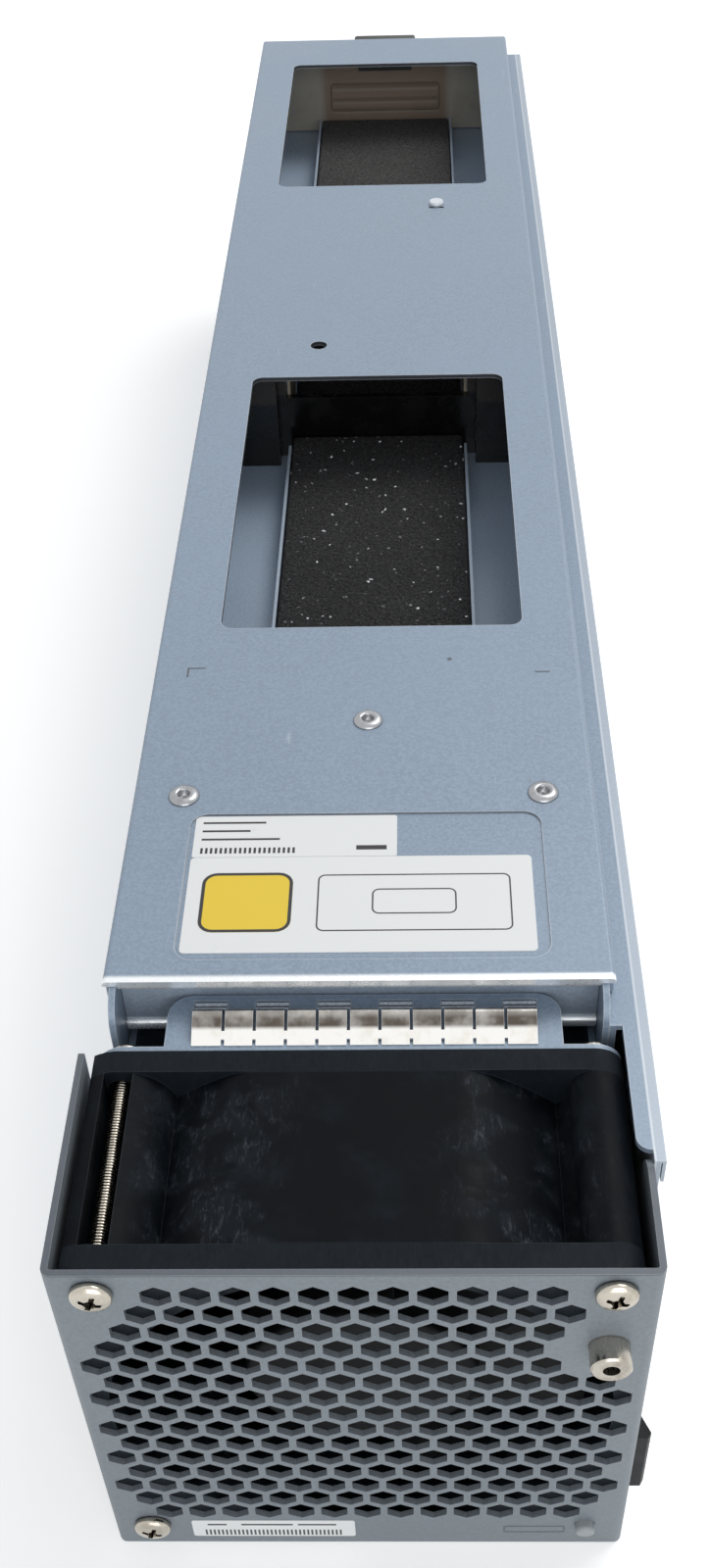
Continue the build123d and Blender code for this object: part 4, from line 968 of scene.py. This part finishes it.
class Repeater(Tree):
    """A Geometry Nodes tree that repeats a shape on a mesh's points, with named inputs."""

    def __init__(self, name: str, inputs: dict[str, str]) -> None:
        """Starts the tree.

        Args:
            name: The tree's name.
            inputs: Each input's name with its socket type.
        """
        super().__init__(bpy.data.node_groups.new(name, "GeometryNodeTree"))
        sockets = self.tree.interface
        sockets.new_socket("Geometry", in_out="INPUT", socket_type=GEOMETRY)
        self.identifiers = {label: sockets.new_socket(label, in_out="INPUT", socket_type=kind).identifier
                            for label, kind in inputs.items()}
        sockets.new_socket("Geometry", in_out="OUTPUT", socket_type=GEOMETRY)
        self.source = self.node("NodeGroupInput")

    def given(self, label: str) -> Socket:
        """Returns the socket of a named input."""
        return self.source.outputs[label]

    def vector(self, **parts: object) -> Socket:
        """Returns a vector of these parts."""
        return self.node("ShaderNodeCombineXYZ", parts).outputs[0]

    def circle(self, corners: int, radius: Socket) -> Socket:
        """Returns a circle with this many corners."""
        values = {"Resolution": corners, "Radius": radius}
        return self.node("GeometryNodeCurvePrimitiveCircle", values).outputs[0]

    def template(self, label: str) -> Socket:
        """Returns the shape of the object that a named input gives."""
        return self.node("GeometryNodeObjectInfo", {"Object": self.given(label)}).outputs["Geometry"]

    def copies(self, points: Socket, shape: Socket, **more: object) -> Socket:
        """Returns a shape repeated on points, with the scale or rotation given."""
        values = {"Points": points, "Instance": shape, **more}
        return self.node("GeometryNodeInstanceOnPoints", values).outputs[0]

    def close(self, geometry: Socket, material: Material) -> None:
        """Ends the tree in Realize Instances and Set Material.

        Args:
            geometry: What the tree has made.
            material: The material that it gets.
        """
        real = self.node("GeometryNodeRealizeInstances", {0: geometry})
        painted = self.node("GeometryNodeSetMaterial", {0: real.outputs[0], "Material": material})
        self.node("NodeGroupOutput", {0: painted.outputs[0]})

    def run(self, carrier: Object, values: dict[str, object]) -> Object:
        """Runs the tree on an object and keeps the result as its plain mesh.

        Args:
            carrier: The object whose mesh holds the points or faces.
            values: A value for each named input.

        Returns:
            The same object.
        """
        modifier = carrier.modifiers.new(self.tree.name, "NODES")
        modifier.node_group = self.tree
        for label, value in values.items():
            modifier[self.identifiers[label]] = value
        return Pieces.bake(carrier)


@dataclass
class Datum:
    """The CAD frame's own landmarks."""

    front: float = 0.0
    cover_top: float = 0.0
    recess_top: float = 0.0
    fan_z: float = 0.0
    rivet_height: float = 0.8
    recess_depth: float = 0.3

    def read(self) -> "Datum":
        """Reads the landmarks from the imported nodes.

        Returns:
            This object.
        """
        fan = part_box("fan_housing")
        self.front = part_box("front_bezel")[0].y / MM
        self.cover_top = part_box("cover_rivets")[1].z / MM - self.rivet_height
        self.recess_top = self.cover_top - self.recess_depth
        self.fan_z = (fan[0].z + fan[1].z) / 2 / MM
        return self


@dataclass
class CadDress:
    """Gives each CAD node that stays in view its finish."""

    palette: Palette
    finishes: dict[Finish, tuple[str, ...]] = field(default_factory=lambda: {
        Finish.COVER_STEEL: ("top_cover",),
        Finish.PLAIN_STEEL: ("fan_bracket", "chassis_base", "rear_plate"),
        Finish.CHANNEL_STEEL: ("side_channel",),
        Finish.ROLLED_STEEL: ("cross_member",),
        Finish.BEZEL_STEEL: ("front_bezel",),
        Finish.INNER_STEEL: ("inner_shelf", "pad_tray_front", "shelf_hanger"),
        Finish.TRAY_STEEL: ("pad_tray_rear",),
        Finish.NICKEL: ("front_standoff", "clinch_nuts"),
        Finish.BRIGHT_STEEL: ("latch_bracket", "latch_pin", "rotor_yoke", "fan_shaft", "shaft_clip",
                              "bearing_front", "bearing_rear", "stator_core"),
        Finish.RIVET_STEEL: ("shelf_rivets", "foot_rivets"),
        Finish.CONTACT_STRIP: ("contact_strip",),
        Finish.FAN_PLASTIC: ("fan_housing",),
        Finish.LATCH_PLASTIC: ("release_latch",),
        Finish.ROTOR_PLASTIC: ("impeller",),
        Finish.CONNECTOR_PLASTIC: ("rear_connector",),
        Finish.GLOSS_BLACK: ("centre_baffle",),
        Finish.BROWN_SHEET: ("rear_liner",),
        Finish.LENS: ("status_lens",),
        Finish.BOARD: ("led_board", "driver_board"),
        Finish.COPPER: ("stator_coils",),
        Finish.FERRITE: ("rotor_magnet",),
        Finish.GOLD: ("connector_contacts",),
    })

    def apply(self, nodes: dict[str, Object]) -> None:
        """Assigns the finishes.

        Args:
            nodes: The frame's nodes by name.
        """
        for finish, names in self.finishes.items():
            for name in names:
                made = nodes[name]
                if not made.material_slots:
                    made.data.materials.append(None)
                for slot in made.material_slots:
                    slot.material = self.palette.get(finish)
                LOG.info("%s: %s", name, finish.value)


@dataclass
class FanScrews:
    """Three long pan-head cross-recess screws with a fine thread."""

    datum: Datum
    palette: Palette
    corners: tuple[tuple[int, int], ...] = ((-1, 1), (1, 1), (-1, -1))
    spread: float = 35.75
    head_radius: float = 3.0
    head_height: float = 2.0
    core_radius: float = 1.2
    ridge_radius: float = 0.24
    pitch: float = 0.5
    length: float = 42.0
    recess_width: float = 0.75
    recess_length: float = 3.3
    recess_depth: float = 1.3
    recess_corner: float = 0.2
    recess_cone: tuple[tuple[float, float], ...] = ((0, -1.9), (0.55, -1.6), (0.95, 0), (0, 0))
    cut_above: float = 0.2
    cut_height: float = 3.0
    seat_share: float = 0.93
    rim_share: float = 0.12
    dome_from: float = 0.42
    dome_rise: float = 0.58
    segments: int = 48
    cone_segments: int = 16
    ring_segments: int = 28
    ridge_segments: int = 4
    roll_deg: float = 20.0

    def cutter(self) -> Object:
        """Makes the cross and the cone that cut the recess.

        Returns:
            The cutter.
        """
        work = bmesh.new()
        top = self.head_height + self.cut_above
        lift = Matrix.Translation((0, 0, top - self.recess_depth))
        slot = Shapes.outline(self.recess_length, self.recess_width, self.recess_corner)
        for turn in (0, 90):
            Shapes.plate(work, slot, self.cut_height, Matrix.Rotation(math.radians(turn), 4, "Z") @ lift)
        Shapes.revolve(work, [(radius, top + height) for radius, height in self.recess_cone],
                       self.cone_segments)
        return Shapes.finish(work, "screw_recess")

    def head(self) -> Object:
        """Makes one screw's head and core.

        Returns:
            The screw without its thread, along Z with its seat at z = 0.
        """
        work = bmesh.new()
        radius, height = self.head_radius, self.head_height
        dome = [(radius * math.cos(turn), height * (self.dome_from + self.dome_rise * math.sin(turn)))
                for turn in (math.radians(step * 9) for step in range(10))]
        Shapes.revolve(work, [(0, -self.length), (self.core_radius, -self.length), (self.core_radius, 0),
                              (radius * self.seat_share, 0), (radius, height * self.rim_share), *dome,
                              (0, height)], self.segments)
        made = Shapes.finish(work, "screw_template", smooth=True)
        cutter = self.cutter()
        cut = made.modifiers.new("recess", "BOOLEAN")
        cut.object = cutter
        cut.solver = "EXACT"
        cut.use_self = True
        Pieces.bake(made)
        Pieces.discard(cutter)
        return made

    def tree(self) -> Repeater:
        """Builds the tree that threads the template and repeats it on points.

        Returns:
            The tree.
        """
        repeat = Repeater("screw_row", {
            "Template": OBJECT, "Thread radius": FLOAT, "Ridge radius": FLOAT,
            "Thread pitch": FLOAT, "Turns": WHOLE})
        step = repeat.vector(Z=repeat.maths("MULTIPLY", repeat.given("Thread pitch"), -1.0))
        rows = repeat.node("GeometryNodeMeshLine", {"Count": repeat.given("Turns"), "Offset": step,
                                                    "Start Location": step})
        ridge = repeat.node("GeometryNodeCurveToMesh", {
            0: repeat.circle(self.ring_segments, repeat.given("Thread radius")),
            "Profile Curve": repeat.circle(self.ridge_segments, repeat.given("Ridge radius"))})
        thread = repeat.copies(rows.outputs[0], ridge.outputs[0])
        whole = repeat.node("GeometryNodeJoinGeometry")
        for part in (thread, repeat.template("Template")):
            repeat.tree.links.new(part, whole.inputs[0])
        turn = (math.radians(90), math.radians(self.roll_deg), 0)
        turned = repeat.copies(repeat.given("Geometry"), whole.outputs[0], Rotation=turn)
        repeat.close(turned, self.palette.get(Finish.THREAD))
        return repeat

    def build(self) -> None:
        """Makes the three screws."""
        spots = Pieces.points("fan_screw_set", [
            (x * self.spread, self.datum.front, self.datum.fan_z + z * self.spread) for x, z in self.corners])
        template = self.head()
        made = self.tree().run(spots, {
            "Template": template,
            "Thread radius": self.core_radius * MM,
            "Ridge radius": self.ridge_radius * MM,
            "Thread pitch": self.pitch * MM,
            "Turns": int((self.length - self.pitch) / self.pitch),
        })
        Pieces.discard(template)
        Pieces.seat(made, "nickel", replaces=("fan_screws",))


@dataclass
class CoverRivets:
    """Three blind rivets with a raised rim and a sunken core."""

    datum: Datum
    palette: Palette
    places: tuple[tuple[float, float], ...] = ((0.5, 109.9), (-30.5, 90.2), (30.5, 90.2))
    radius: float = 2.65
    shank_radius: float = 1.2
    shank_length: float = 3.2
    dome: tuple[tuple[float, float], ...] = (
        (1.0, 0.0), (1.0, 0.12), (0.93, 0.42), (0.78, 0.68), (0.58, 0.8), (0.44, 0.74), (0.39, 0.5),
        (0.37, -0.6), (0.2, -0.7), (0.0, -0.6))
    segments: int = 44

    def template(self) -> Object:
        """Makes one rivet.

        Returns:
            The rivet, with its seat at z = 0.
        """
        work = bmesh.new()
        shank = [(0, -self.shank_length), (self.shank_radius, -self.shank_length), (self.shank_radius, 0)]
        dome = [(self.radius * share, height) for share, height in self.dome]
        Shapes.revolve(work, shank + dome, self.segments)
        return Shapes.finish(work, "rivet_template", smooth=True)

    def build(self) -> None:
        """Makes the rivets."""
        repeat = Repeater("rivet_set", {"Template": OBJECT})
        shape = repeat.template("Template")
        repeat.close(repeat.copies(repeat.given("Geometry"), shape), self.palette.get(Finish.RIVET_STEEL))
        spots = Pieces.points("cover_rivet_set", [
            (x, self.datum.front + y, self.datum.cover_top) for x, y in self.places])
        template = self.template()
        made = repeat.run(spots, {"Template": template})
        Pieces.discard(template)
        Pieces.seat(made, "bright_steel", replaces=("cover_rivets",))


@dataclass
class LatchSpring:
    """The latch's torsion spring."""

    palette: Palette
    node: str = "latch_spring"
    wire: float = 0.6

    def build(self, nodes: dict[str, Object]) -> None:
        """Makes the spring as a copy of its CAD shape, in bright steel.

        Args:
            nodes: The frame's nodes by name.
        """
        source = nodes[self.node]
        made = Pieces.link(self.node + "_coil", source.data.copy())
        made.matrix_world = source.matrix_world
        made.data.materials.clear()
        made.data.materials.append(self.palette.get(Finish.BRIGHT_STEEL))
        low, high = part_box(self.node)
        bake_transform(made)
        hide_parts(self.node)


@dataclass
class FoamPads:
    """Two foam pads with soft edges, and the specks caught in their cells, a few of which carry a painted
    glint.
    """

    palette: Palette
    nodes: tuple[tuple[str, bool], ...] = (("foam_pad_front", False), ("foam_pad_rear", True))
    edge: float = 0.9
    edge_segments: int = 3
    edge_profile: float = 0.6
    cell: float = 2.4
    dimple: float = 0.22
    ripple_x: float = 1.9
    ripple_y: float = 1.3
    sway: float = 2.0
    sway_y: float = 0.7
    top_face: float = 0.01
    crumb: float = 0.36
    crumbs_per_m2: tuple[float, float] = (52000.0, 34000.0)
    facing_up: float = 0.8
    least_crumb: Point = (0.4, 0.4, 0.3)
    most_crumb: Point = (1.7, 1.3, 0.6)
    most_turn: Point = (0.3, 0.3, math.tau)
    seed: int = 11

    def pad(self, node: str) -> Object:
        """Makes one pad in the place of its CAD solid.

        Args:
            node: The CAD node that it stands for.

        Returns:
            The pad.
        """
        low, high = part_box(node)
        size = [(top - bottom) / MM for bottom, top in zip(low, high)]
        work = bmesh.new()
        Shapes.slab(work, tuple(size), tuple((bottom + top) / 2 / MM for bottom, top in zip(low, high)))
        bmesh.ops.bevel(work, geom=list(work.edges), offset=self.edge, segments=self.edge_segments,
                        profile=self.edge_profile, affect="EDGES")
        for axis, length in enumerate(size):
            count = max(1, round(length / self.cell))
            for cut in range(1, count):
                place = low[axis] / MM + length * cut / count
                normal = Vector([1.0 if index == axis else 0.0 for index in range(3)])
                bmesh.ops.bisect_plane(work, geom=list(work.verts) + list(work.edges) + list(work.faces),
                                       plane_co=normal * place, plane_no=normal)
        for vert in work.verts:
            if vert.co.z > high.z / MM - self.top_face:
                x, y, _ = vert.co
                across = math.sin(x * self.ripple_x + math.sin(y * self.sway_y) * self.sway)
                vert.co.z -= self.dimple * (0.5 + 0.5 * across * math.sin(y * self.ripple_y))
        return Shapes.finish(work, node + "_soft", smooth=True)

    def scatter(self, dull: bool) -> Repeater:
        """Builds the tree that scatters flat crumbs over upward faces.

        Args:
            dull: Whether they have the worn foam's tone.

        Returns:
            The tree.
        """
        repeat = Repeater("speck_scatter", {
            "Density": FLOAT, "Speck size": FLOAT, "Seed": WHOLE})
        seed = repeat.given("Seed")
        normal = repeat.node("ShaderNodeSeparateXYZ", {0: repeat.node("GeometryNodeInputNormal").outputs[0]})
        upward = repeat.node("FunctionNodeCompare", {0: normal.outputs[2], 1: self.facing_up},
                             data_type="FLOAT", operation="GREATER_THAN")
        spots = repeat.node("GeometryNodeDistributePointsOnFaces", {
            "Mesh": repeat.given("Geometry"), "Selection": upward.outputs[0],
            "Density": repeat.given("Density"), "Seed": seed})
        shape = {"Radius": repeat.given("Speck size"), "Subdivisions": 1}
        crumb = repeat.node("GeometryNodeMeshIcoSphere", shape).outputs[0]
        sizes, turns = (
            repeat.node("FunctionNodeRandomValue", {0: least, 1: most, "Seed": seed},
                        data_type="FLOAT_VECTOR").outputs[0]
            for least, most in ((self.least_crumb, self.most_crumb), ((0, 0, 0), self.most_turn)))
        spread = repeat.copies(spots.outputs[0], crumb, Scale=sizes, Rotation=turns)
        repeat.close(spread, self.palette.get(Finish.FOAM_WORN if dull else Finish.FOAM_SPECK))
        return repeat

    def build(self) -> None:
        """Makes both pads and their specks."""
        for node, worn in self.nodes:
            pad = self.pad(node)
            carrier = Pieces.link(node.replace("pad", "specks"), pad.data.copy())
            crumbs = self.scatter(worn).run(carrier, {
                "Density": self.crumbs_per_m2[worn], "Speck size": self.crumb * MM, "Seed": self.seed})
            finish = Finish.FOAM_WORN if worn else Finish.FOAM
            Pieces.seat(pad, "foam", self.palette.get(finish), replaces=(node,))
            Pieces.seat(crumbs, "foam")


@dataclass
class StripTabs:
    """The contact strip's hooks, which show as two pale bars in each slot of the tongue; their pale tone is a
    painted highlight.
    """

    palette: Palette
    slots: int = 6
    slot_pitch: float = 9.54
    size: Point = (5.1, 0.58, 0.25)
    sunk: float = 0.25
    bars_behind: tuple[float, float] = (0.4, 1.36)

    def build(self) -> None:
        """Makes the bars just below the tongue's top, behind the strip's rear edge."""
        low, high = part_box("contact_strip")
        centre_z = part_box("fan_bracket")[1].z / MM - self.sunk - self.size[2] / 2
        work = bmesh.new()
        for slot in range(self.slots):
            across = (low.x + high.x) / 2 / MM + (slot - (self.slots - 1) / 2) * self.slot_pitch
            for behind in self.bars_behind:
                Shapes.slab(work, self.size, (across, high.y / MM + behind, centre_z))
        Pieces.seat(Shapes.finish(work, "strip_tabs"), "bright_steel", self.palette.get(Finish.TAB_HIGHLIGHT))


@dataclass
class CoverLabels:
    """The two white labels in the cover's recess, with plain generic print."""

    datum: Datum
    palette: Palette
    thick: float = 0.12
    ink: float = 0.03
    main: Edges = (-28.0, 27.7, 54.0, 75.3)
    main_radius: float = 0.8
    small: Edges = (-27.9, 5.8, 75.4, 85.2)
    small_radius: float = 0.4
    patch: Edges = (-25.6, -10.9, 58.4, 71.6)
    patch_radius: float = 2.4
    patch_line: float = 0.55
    boxes: tuple[Edges, ...] = ((31.0, 12.6, 8.6, 64.8), (13.5, 5.6, 8.6, 65.0))
    box_radius: float = 1.2
    box_line: float = 0.24
    rules: tuple[float, ...] = (10.5, 8.0, 13.0)
    rule_line: float = 0.42
    rules_from: tuple[float, float] = (-26.6, 83.6)
    rule_pitch: float = 2.0
    block: Edges = (5.0, 1.0, 1.6, 77.4)
    tick_count: int = 20
    tick_size: tuple[float, float] = (0.4, 1.3)
    tick_pitch: float = 0.8
    ticks_from: tuple[float, float] = (-26.4, 76.9)

    def spot(self, x: float, y: float, height: float) -> Matrix:
        """Returns the place on the recess at x and this distance behind the front."""
        return Matrix.Translation((x, self.datum.front + y, self.datum.recess_top + height))

    def sheet(self, name: str, box: Edges, radius: float, finish: Finish, level: float) -> None:
        """Makes one flat rounded piece.

        Args:
            name: Its name.
            box: Its left, right, near and far edges.
            radius: Its corner radius.
            finish: Its finish.
            level: The height of its underside above the recess.
        """
        left, right, near, far = box
        thick = self.ink if level else self.thick
        work = bmesh.new()
        Shapes.plate(work, Shapes.outline(right - left, far - near, radius), thick,
                     self.spot((left + right) / 2, (near + far) / 2, level))
        Pieces.seat(Shapes.finish(work, name), "bezel_steel", self.palette.get(finish))

    def marks(self) -> None:
        """Makes the black print: plain boxes, rules and a block."""
        work = bmesh.new()
        left, right, near, far = self.patch
        Shapes.frame(work, (right - left, far - near), self.patch_radius, self.patch_line, self.ink,
                     self.spot((left + right) / 2, (near + far) / 2, self.thick + self.ink))
        for width, height, x, y in self.boxes:
            Shapes.frame(work, (width, height), self.box_radius, self.box_line, self.ink,
                         self.spot(x, y, self.thick))
        start_x, start_y = self.rules_from
        bars = [(width, self.rule_line, start_x + width / 2, start_y - self.rule_pitch * row)
                for row, width in enumerate(self.rules)]
        for width, height, x, y in (*bars, self.block):
            centre = self.spot(x, y, self.thick + self.ink / 2).translation
            Shapes.slab(work, (width, height, self.ink), centre)
        made = Shapes.finish(work, "cover_label_print")
        Pieces.seat(made, "connector_black", self.palette.get(Finish.PRINT_BLACK))

    def ticks(self) -> None:
        """Makes the row of evenly spaced ticks on the small label."""
        repeat = Repeater("tick_row", {"Count": WHOLE, "Tick pitch": FLOAT,
                                       "Tick width": FLOAT, "Tick height": FLOAT})
        row = repeat.node("GeometryNodeMeshLine", {"Count": repeat.given("Count"),
                                                   "Offset": repeat.vector(X=repeat.given("Tick pitch"))})
        size = repeat.vector(X=repeat.given("Tick width"), Y=repeat.given("Tick height"), Z=self.ink * MM)
        tick = repeat.node("GeometryNodeMeshCube", {"Size": size})
        line = repeat.copies(row.outputs[0], tick.outputs[0])
        repeat.close(repeat.copies(repeat.given("Geometry"), line), self.palette.get(Finish.PRINT_BLACK))
        start = self.spot(*self.ticks_from, self.thick + self.ink / 2).translation
        width, height = self.tick_size
        made = repeat.run(Pieces.points("cover_label_ticks", [tuple(start)]), {
            "Count": self.tick_count, "Tick pitch": self.tick_pitch * MM, "Tick width": width * MM,
            "Tick height": height * MM})
        Pieces.seat(made, "connector_black")

    def build(self) -> None:
        """Makes the labels and their print."""
        self.sheet("cover_label_main", self.main, self.main_radius, Finish.LABEL_WHITE, 0)
        self.sheet("cover_label_small", self.small, self.small_radius, Finish.LABEL_WHITE, 0)
        self.sheet("cover_label_patch", self.patch, self.patch_radius, Finish.LABEL_YELLOW, self.thick)
        self.marks()
        self.ticks()


@dataclass
class FrontMarks:
    """The narrow label at the foot of the grille and the plain stamped bar beside the light."""

    datum: Datum
    palette: Palette
    label: Edges = (-29.3, -2.2, 2.4, 8.1)
    label_radius: float = 0.5
    thick: float = 0.1
    ink: float = 0.02
    tick_count: int = 34
    tick: Edges = (0.32, 1.9, 2.2, 1.45)
    tick_pitch: float = 0.68
    tick_radius: float = 0.02
    rules: tuple[float, ...] = (3.2, 8.6, 6.4)
    rule_line: float = 0.5
    rules_from: tuple[float, float] = (4.2, 4.3)
    rule_pitch: float = 8.3
    rule_radius: float = 0.1
    bar: Edges = (22.4, 32.6, 3.7, 6.1)
    bar_radius: float = 0.6
    bar_line: float = 0.28
    bar_height: float = 0.04

    def spot(self, x: float, z: float, depth: float) -> Matrix:
        """Returns a place on the front face, turned to face forwards."""
        turn = Matrix.Rotation(math.radians(90), 4, "X")
        return Matrix.Translation((x, self.datum.front - depth, z)) @ turn

    def build(self) -> None:
        """Makes the label, its rules and ticks, and the stamped bar."""
        left, right, low, high = self.label
        work = bmesh.new()
        Shapes.plate(work, Shapes.outline(right - left, high - low, self.label_radius), self.thick,
                     self.spot((left + right) / 2, (low + high) / 2, 0))
        Pieces.seat(Shapes.finish(work, "front_label"), "bezel_steel", self.palette.get(Finish.LABEL_WHITE))
        work = bmesh.new()
        width, height, start_x, start_z = self.tick
        for step in range(self.tick_count):
            Shapes.plate(work, Shapes.outline(width, height, self.tick_radius, 1), self.ink,
                         self.spot(left + start_x + self.tick_pitch * step, low + start_z, self.thick))
        start_x, start_z = self.rules_from
        for step, width in enumerate(self.rules):
            Shapes.plate(work, Shapes.outline(width, self.rule_line, self.rule_radius, 1), self.ink,
                         self.spot(left + start_x + self.rule_pitch * step, low + start_z, self.thick))
        made = Shapes.finish(work, "front_label_print")
        Pieces.seat(made, "connector_black", self.palette.get(Finish.PRINT_BLACK))
        left, right, low, high = self.bar
        work = bmesh.new()
        Shapes.frame(work, (right - left, high - low), self.bar_radius, self.bar_line, self.bar_height,
                     self.spot((left + right) / 2, (low + high) / 2, 0))
        Pieces.seat(Shapes.finish(work, "front_stamp"), "connector_black", self.palette.get(Finish.SCRIBE))


@dataclass
class CoverMarks:
    """Small stamped locating marks on the cover."""

    datum: Datum
    palette: Palette
    thick: float = 0.03
    lines: tuple[Edges, ...] = (
        (3.2, 0.35, -31.5, 125.6), (0.35, 2.6, -33.0, 124.3), (2.8, 0.35, 32.2, 123.4))
    dot: Point = (15.3, 127.5, 0.9)
    dot_round: float = 0.49

    def build(self) -> None:
        """Makes the corner mark, the dash and the dot."""
        work = bmesh.new()
        front, top = self.datum.front, self.datum.cover_top
        for width, length, x, y in self.lines:
            Shapes.slab(work, (width, length, self.thick), (x, front + y, top + self.thick / 2))
        x, y, across = self.dot
        Shapes.plate(work, Shapes.outline(across, across, self.dot_round * across), self.thick,
                     Matrix.Translation((x, front + y, top)))
        Pieces.seat(Shapes.finish(work, "cover_marks"), "sheet_steel", self.palette.get(Finish.SCRIBE))


@dataclass(frozen=True)
class Lamp:
    """A square soft lamp: where it hangs and what it points at in metres, its side in metres, its power."""

    name: str
    place: Point
    target: Point
    power: float
    tone: Colour
    side: float = 0.9


@dataclass
class Studio:
    """The floor, the lamps and the camera of the photograph."""

    datum: Datum
    floor_tone: Colour = (0.86, 0.86, 0.85)
    floor_glow: float = 0.42
    floor_half: float = 6000.0
    floor_drop: float = 0.1
    fade_m: tuple[float, float] = (0.5, 1.4)
    room_tone: Colour = (0.93, 0.96, 1.0)
    room_light: float = 0.45
    lamps: tuple[Lamp, ...] = (
        Lamp("overhead_lamp", (0.62, 0.55, 1.3), (0, 0.0, 0.05), 11.0, (1.0, 0.99, 0.97)),
        Lamp("front_lamp", (0.15, -1.2, 0.45), (0, -0.2, 0.05), 5.0, (0.98, 0.99, 1.0)),
    )
    eye: Point = (9.9, -122.9, 279.6)
    right: Point = (0.999637, 0.011830, -0.024202)
    up: Point = (0.008854, 0.704239, 0.709908)
    back: Point = (0.025442, -0.709865, 0.703879)
    focal_px: float = 1719.4
    centre_px: tuple[float, float] = (386.8, 895.5)
    image_px: tuple[int, int] = (724, 1600)
    sensor_mm: float = 36.0
    nearest_m: float = 0.01

    def floor(self) -> None:
        """Makes the pale floor, which fades to plain white far away."""
        graph = Graph("studio_floor", self.floor_tone)
        graph.tint(scaled(self.floor_tone, 0.97), graph.span(graph.noise(60.0, 3.0, 0.5), 0.3, 0.7, 0.0, 0.3))
        matte = graph.node("ShaderNodeBsdfDiffuse", {"Color": graph.base}).outputs[0]
        glow, plain = (graph.node("ShaderNodeEmission", {"Color": WHITE, "Strength": strength}).outputs[0]
                       for strength in (self.floor_glow, 1.0))
        both = graph.node("ShaderNodeAddShader", {0: matte, 1: glow}).outputs[0]
        distance = graph.node("ShaderNodeVectorMath", {0: graph.place}, operation="LENGTH").outputs["Value"]
        faded = {0: graph.span(distance, *self.fade_m), 1: both, 2: plain}
        shown = graph.node("ShaderNodeMixShader", faded).outputs[0]
        seen = graph.node("ShaderNodeMixShader", {0: graph.direct(), 1: matte, 2: shown})
        graph.node("ShaderNodeOutputMaterial", {"Surface": seen.outputs[0]})
        work = bmesh.new()
        work.faces.new([work.verts.new((x * self.floor_half, y * self.floor_half, -self.floor_drop))
                        for x, y in ((-1, -1), (1, -1), (1, 1), (-1, 1))])
        made = Shapes.finish(work, "studio_floor")
        made.data.materials.append(graph.material)

    def world(self) -> None:
        """Makes the soft surrounding light and the white background."""
        scene_world = bpy.data.worlds.new("studio_world")
        bpy.context.scene.world = scene_world
        scene_world.use_nodes = True
        scene_world.node_tree.nodes.clear()
        graph = Tree(scene_world.node_tree)
        room, white = (graph.node("ShaderNodeBackground", {"Color": tone, "Strength": strength}).outputs[0]
                       for tone, strength in ((self.room_tone, self.room_light), (WHITE, 1.0)))
        mixed = graph.node("ShaderNodeMixShader", {0: graph.direct(), 1: room, 2: white})
        graph.node("ShaderNodeOutputWorld", {"Surface": mixed.outputs[0]})

    def light(self, lamp: Lamp) -> None:
        """Adds a lamp.

        Args:
            lamp: Its settings.
        """
        data = bpy.data.lights.new(lamp.name, "AREA")
        data.size = lamp.side
        data.energy = lamp.power
        data.color = lamp.tone
        aim = (Vector(lamp.target) - Vector(lamp.place)).to_track_quat("-Z", "Y")
        Pieces.link(lamp.name, data).matrix_world = Matrix.Translation(lamp.place) @ aim.to_matrix().to_4x4()

    def camera(self) -> None:
        """Places the camera that the photograph was taken with."""
        data = bpy.data.cameras.new("photo_camera")
        width, height = self.image_px
        data.sensor_width = self.sensor_mm
        data.lens = self.focal_px * self.sensor_mm / height
        data.shift_x = (width / 2 - self.centre_px[0]) / height
        data.shift_y = (self.centre_px[1] - height / 2) / height
        data.clip_start = self.nearest_m
        made = Pieces.link("photo_camera", data)
        x, y, z = self.eye
        turn = Matrix((self.right, self.up, self.back)).transposed()
        made.matrix_world = Matrix.Translation((x * MM, (self.datum.front + y) * MM, z * MM)) @ turn.to_4x4()
        bpy.context.scene.camera = made

    def build(self) -> None:
        """Makes the whole studio."""
        self.floor()
        self.world()
        for lamp in self.lamps:
            self.light(lamp)
        self.camera()
        bpy.context.scene.view_settings.view_transform = "Standard"


def corners(bounds: object) -> list[list[float]]:
    """Returns a box's two corners as plain lists."""
    return [[float(part) for part in corner] for corner in bounds]


def main() -> None:
    """Builds every sub-assembly round the CAD frame."""
    logging.basicConfig(level=logging.INFO, format="%(name)s %(message)s")
    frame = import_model()
    palette = Palette()
    datum = Datum().read()
    CadDress(palette).apply(frame["nodes"])
    FanScrews(datum, palette).build()
    CoverRivets(datum, palette).build()
    LatchSpring(palette).build(frame["nodes"])
    FoamPads(palette).build()
    StripTabs(palette).build()
    CoverLabels(datum, palette).build()
    FrontMarks(datum, palette).build()
    CoverMarks(datum, palette).build()
    Studio(datum).build()
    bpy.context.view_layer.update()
    LOG.info("module built")


if __name__ == "__main__":
    main()
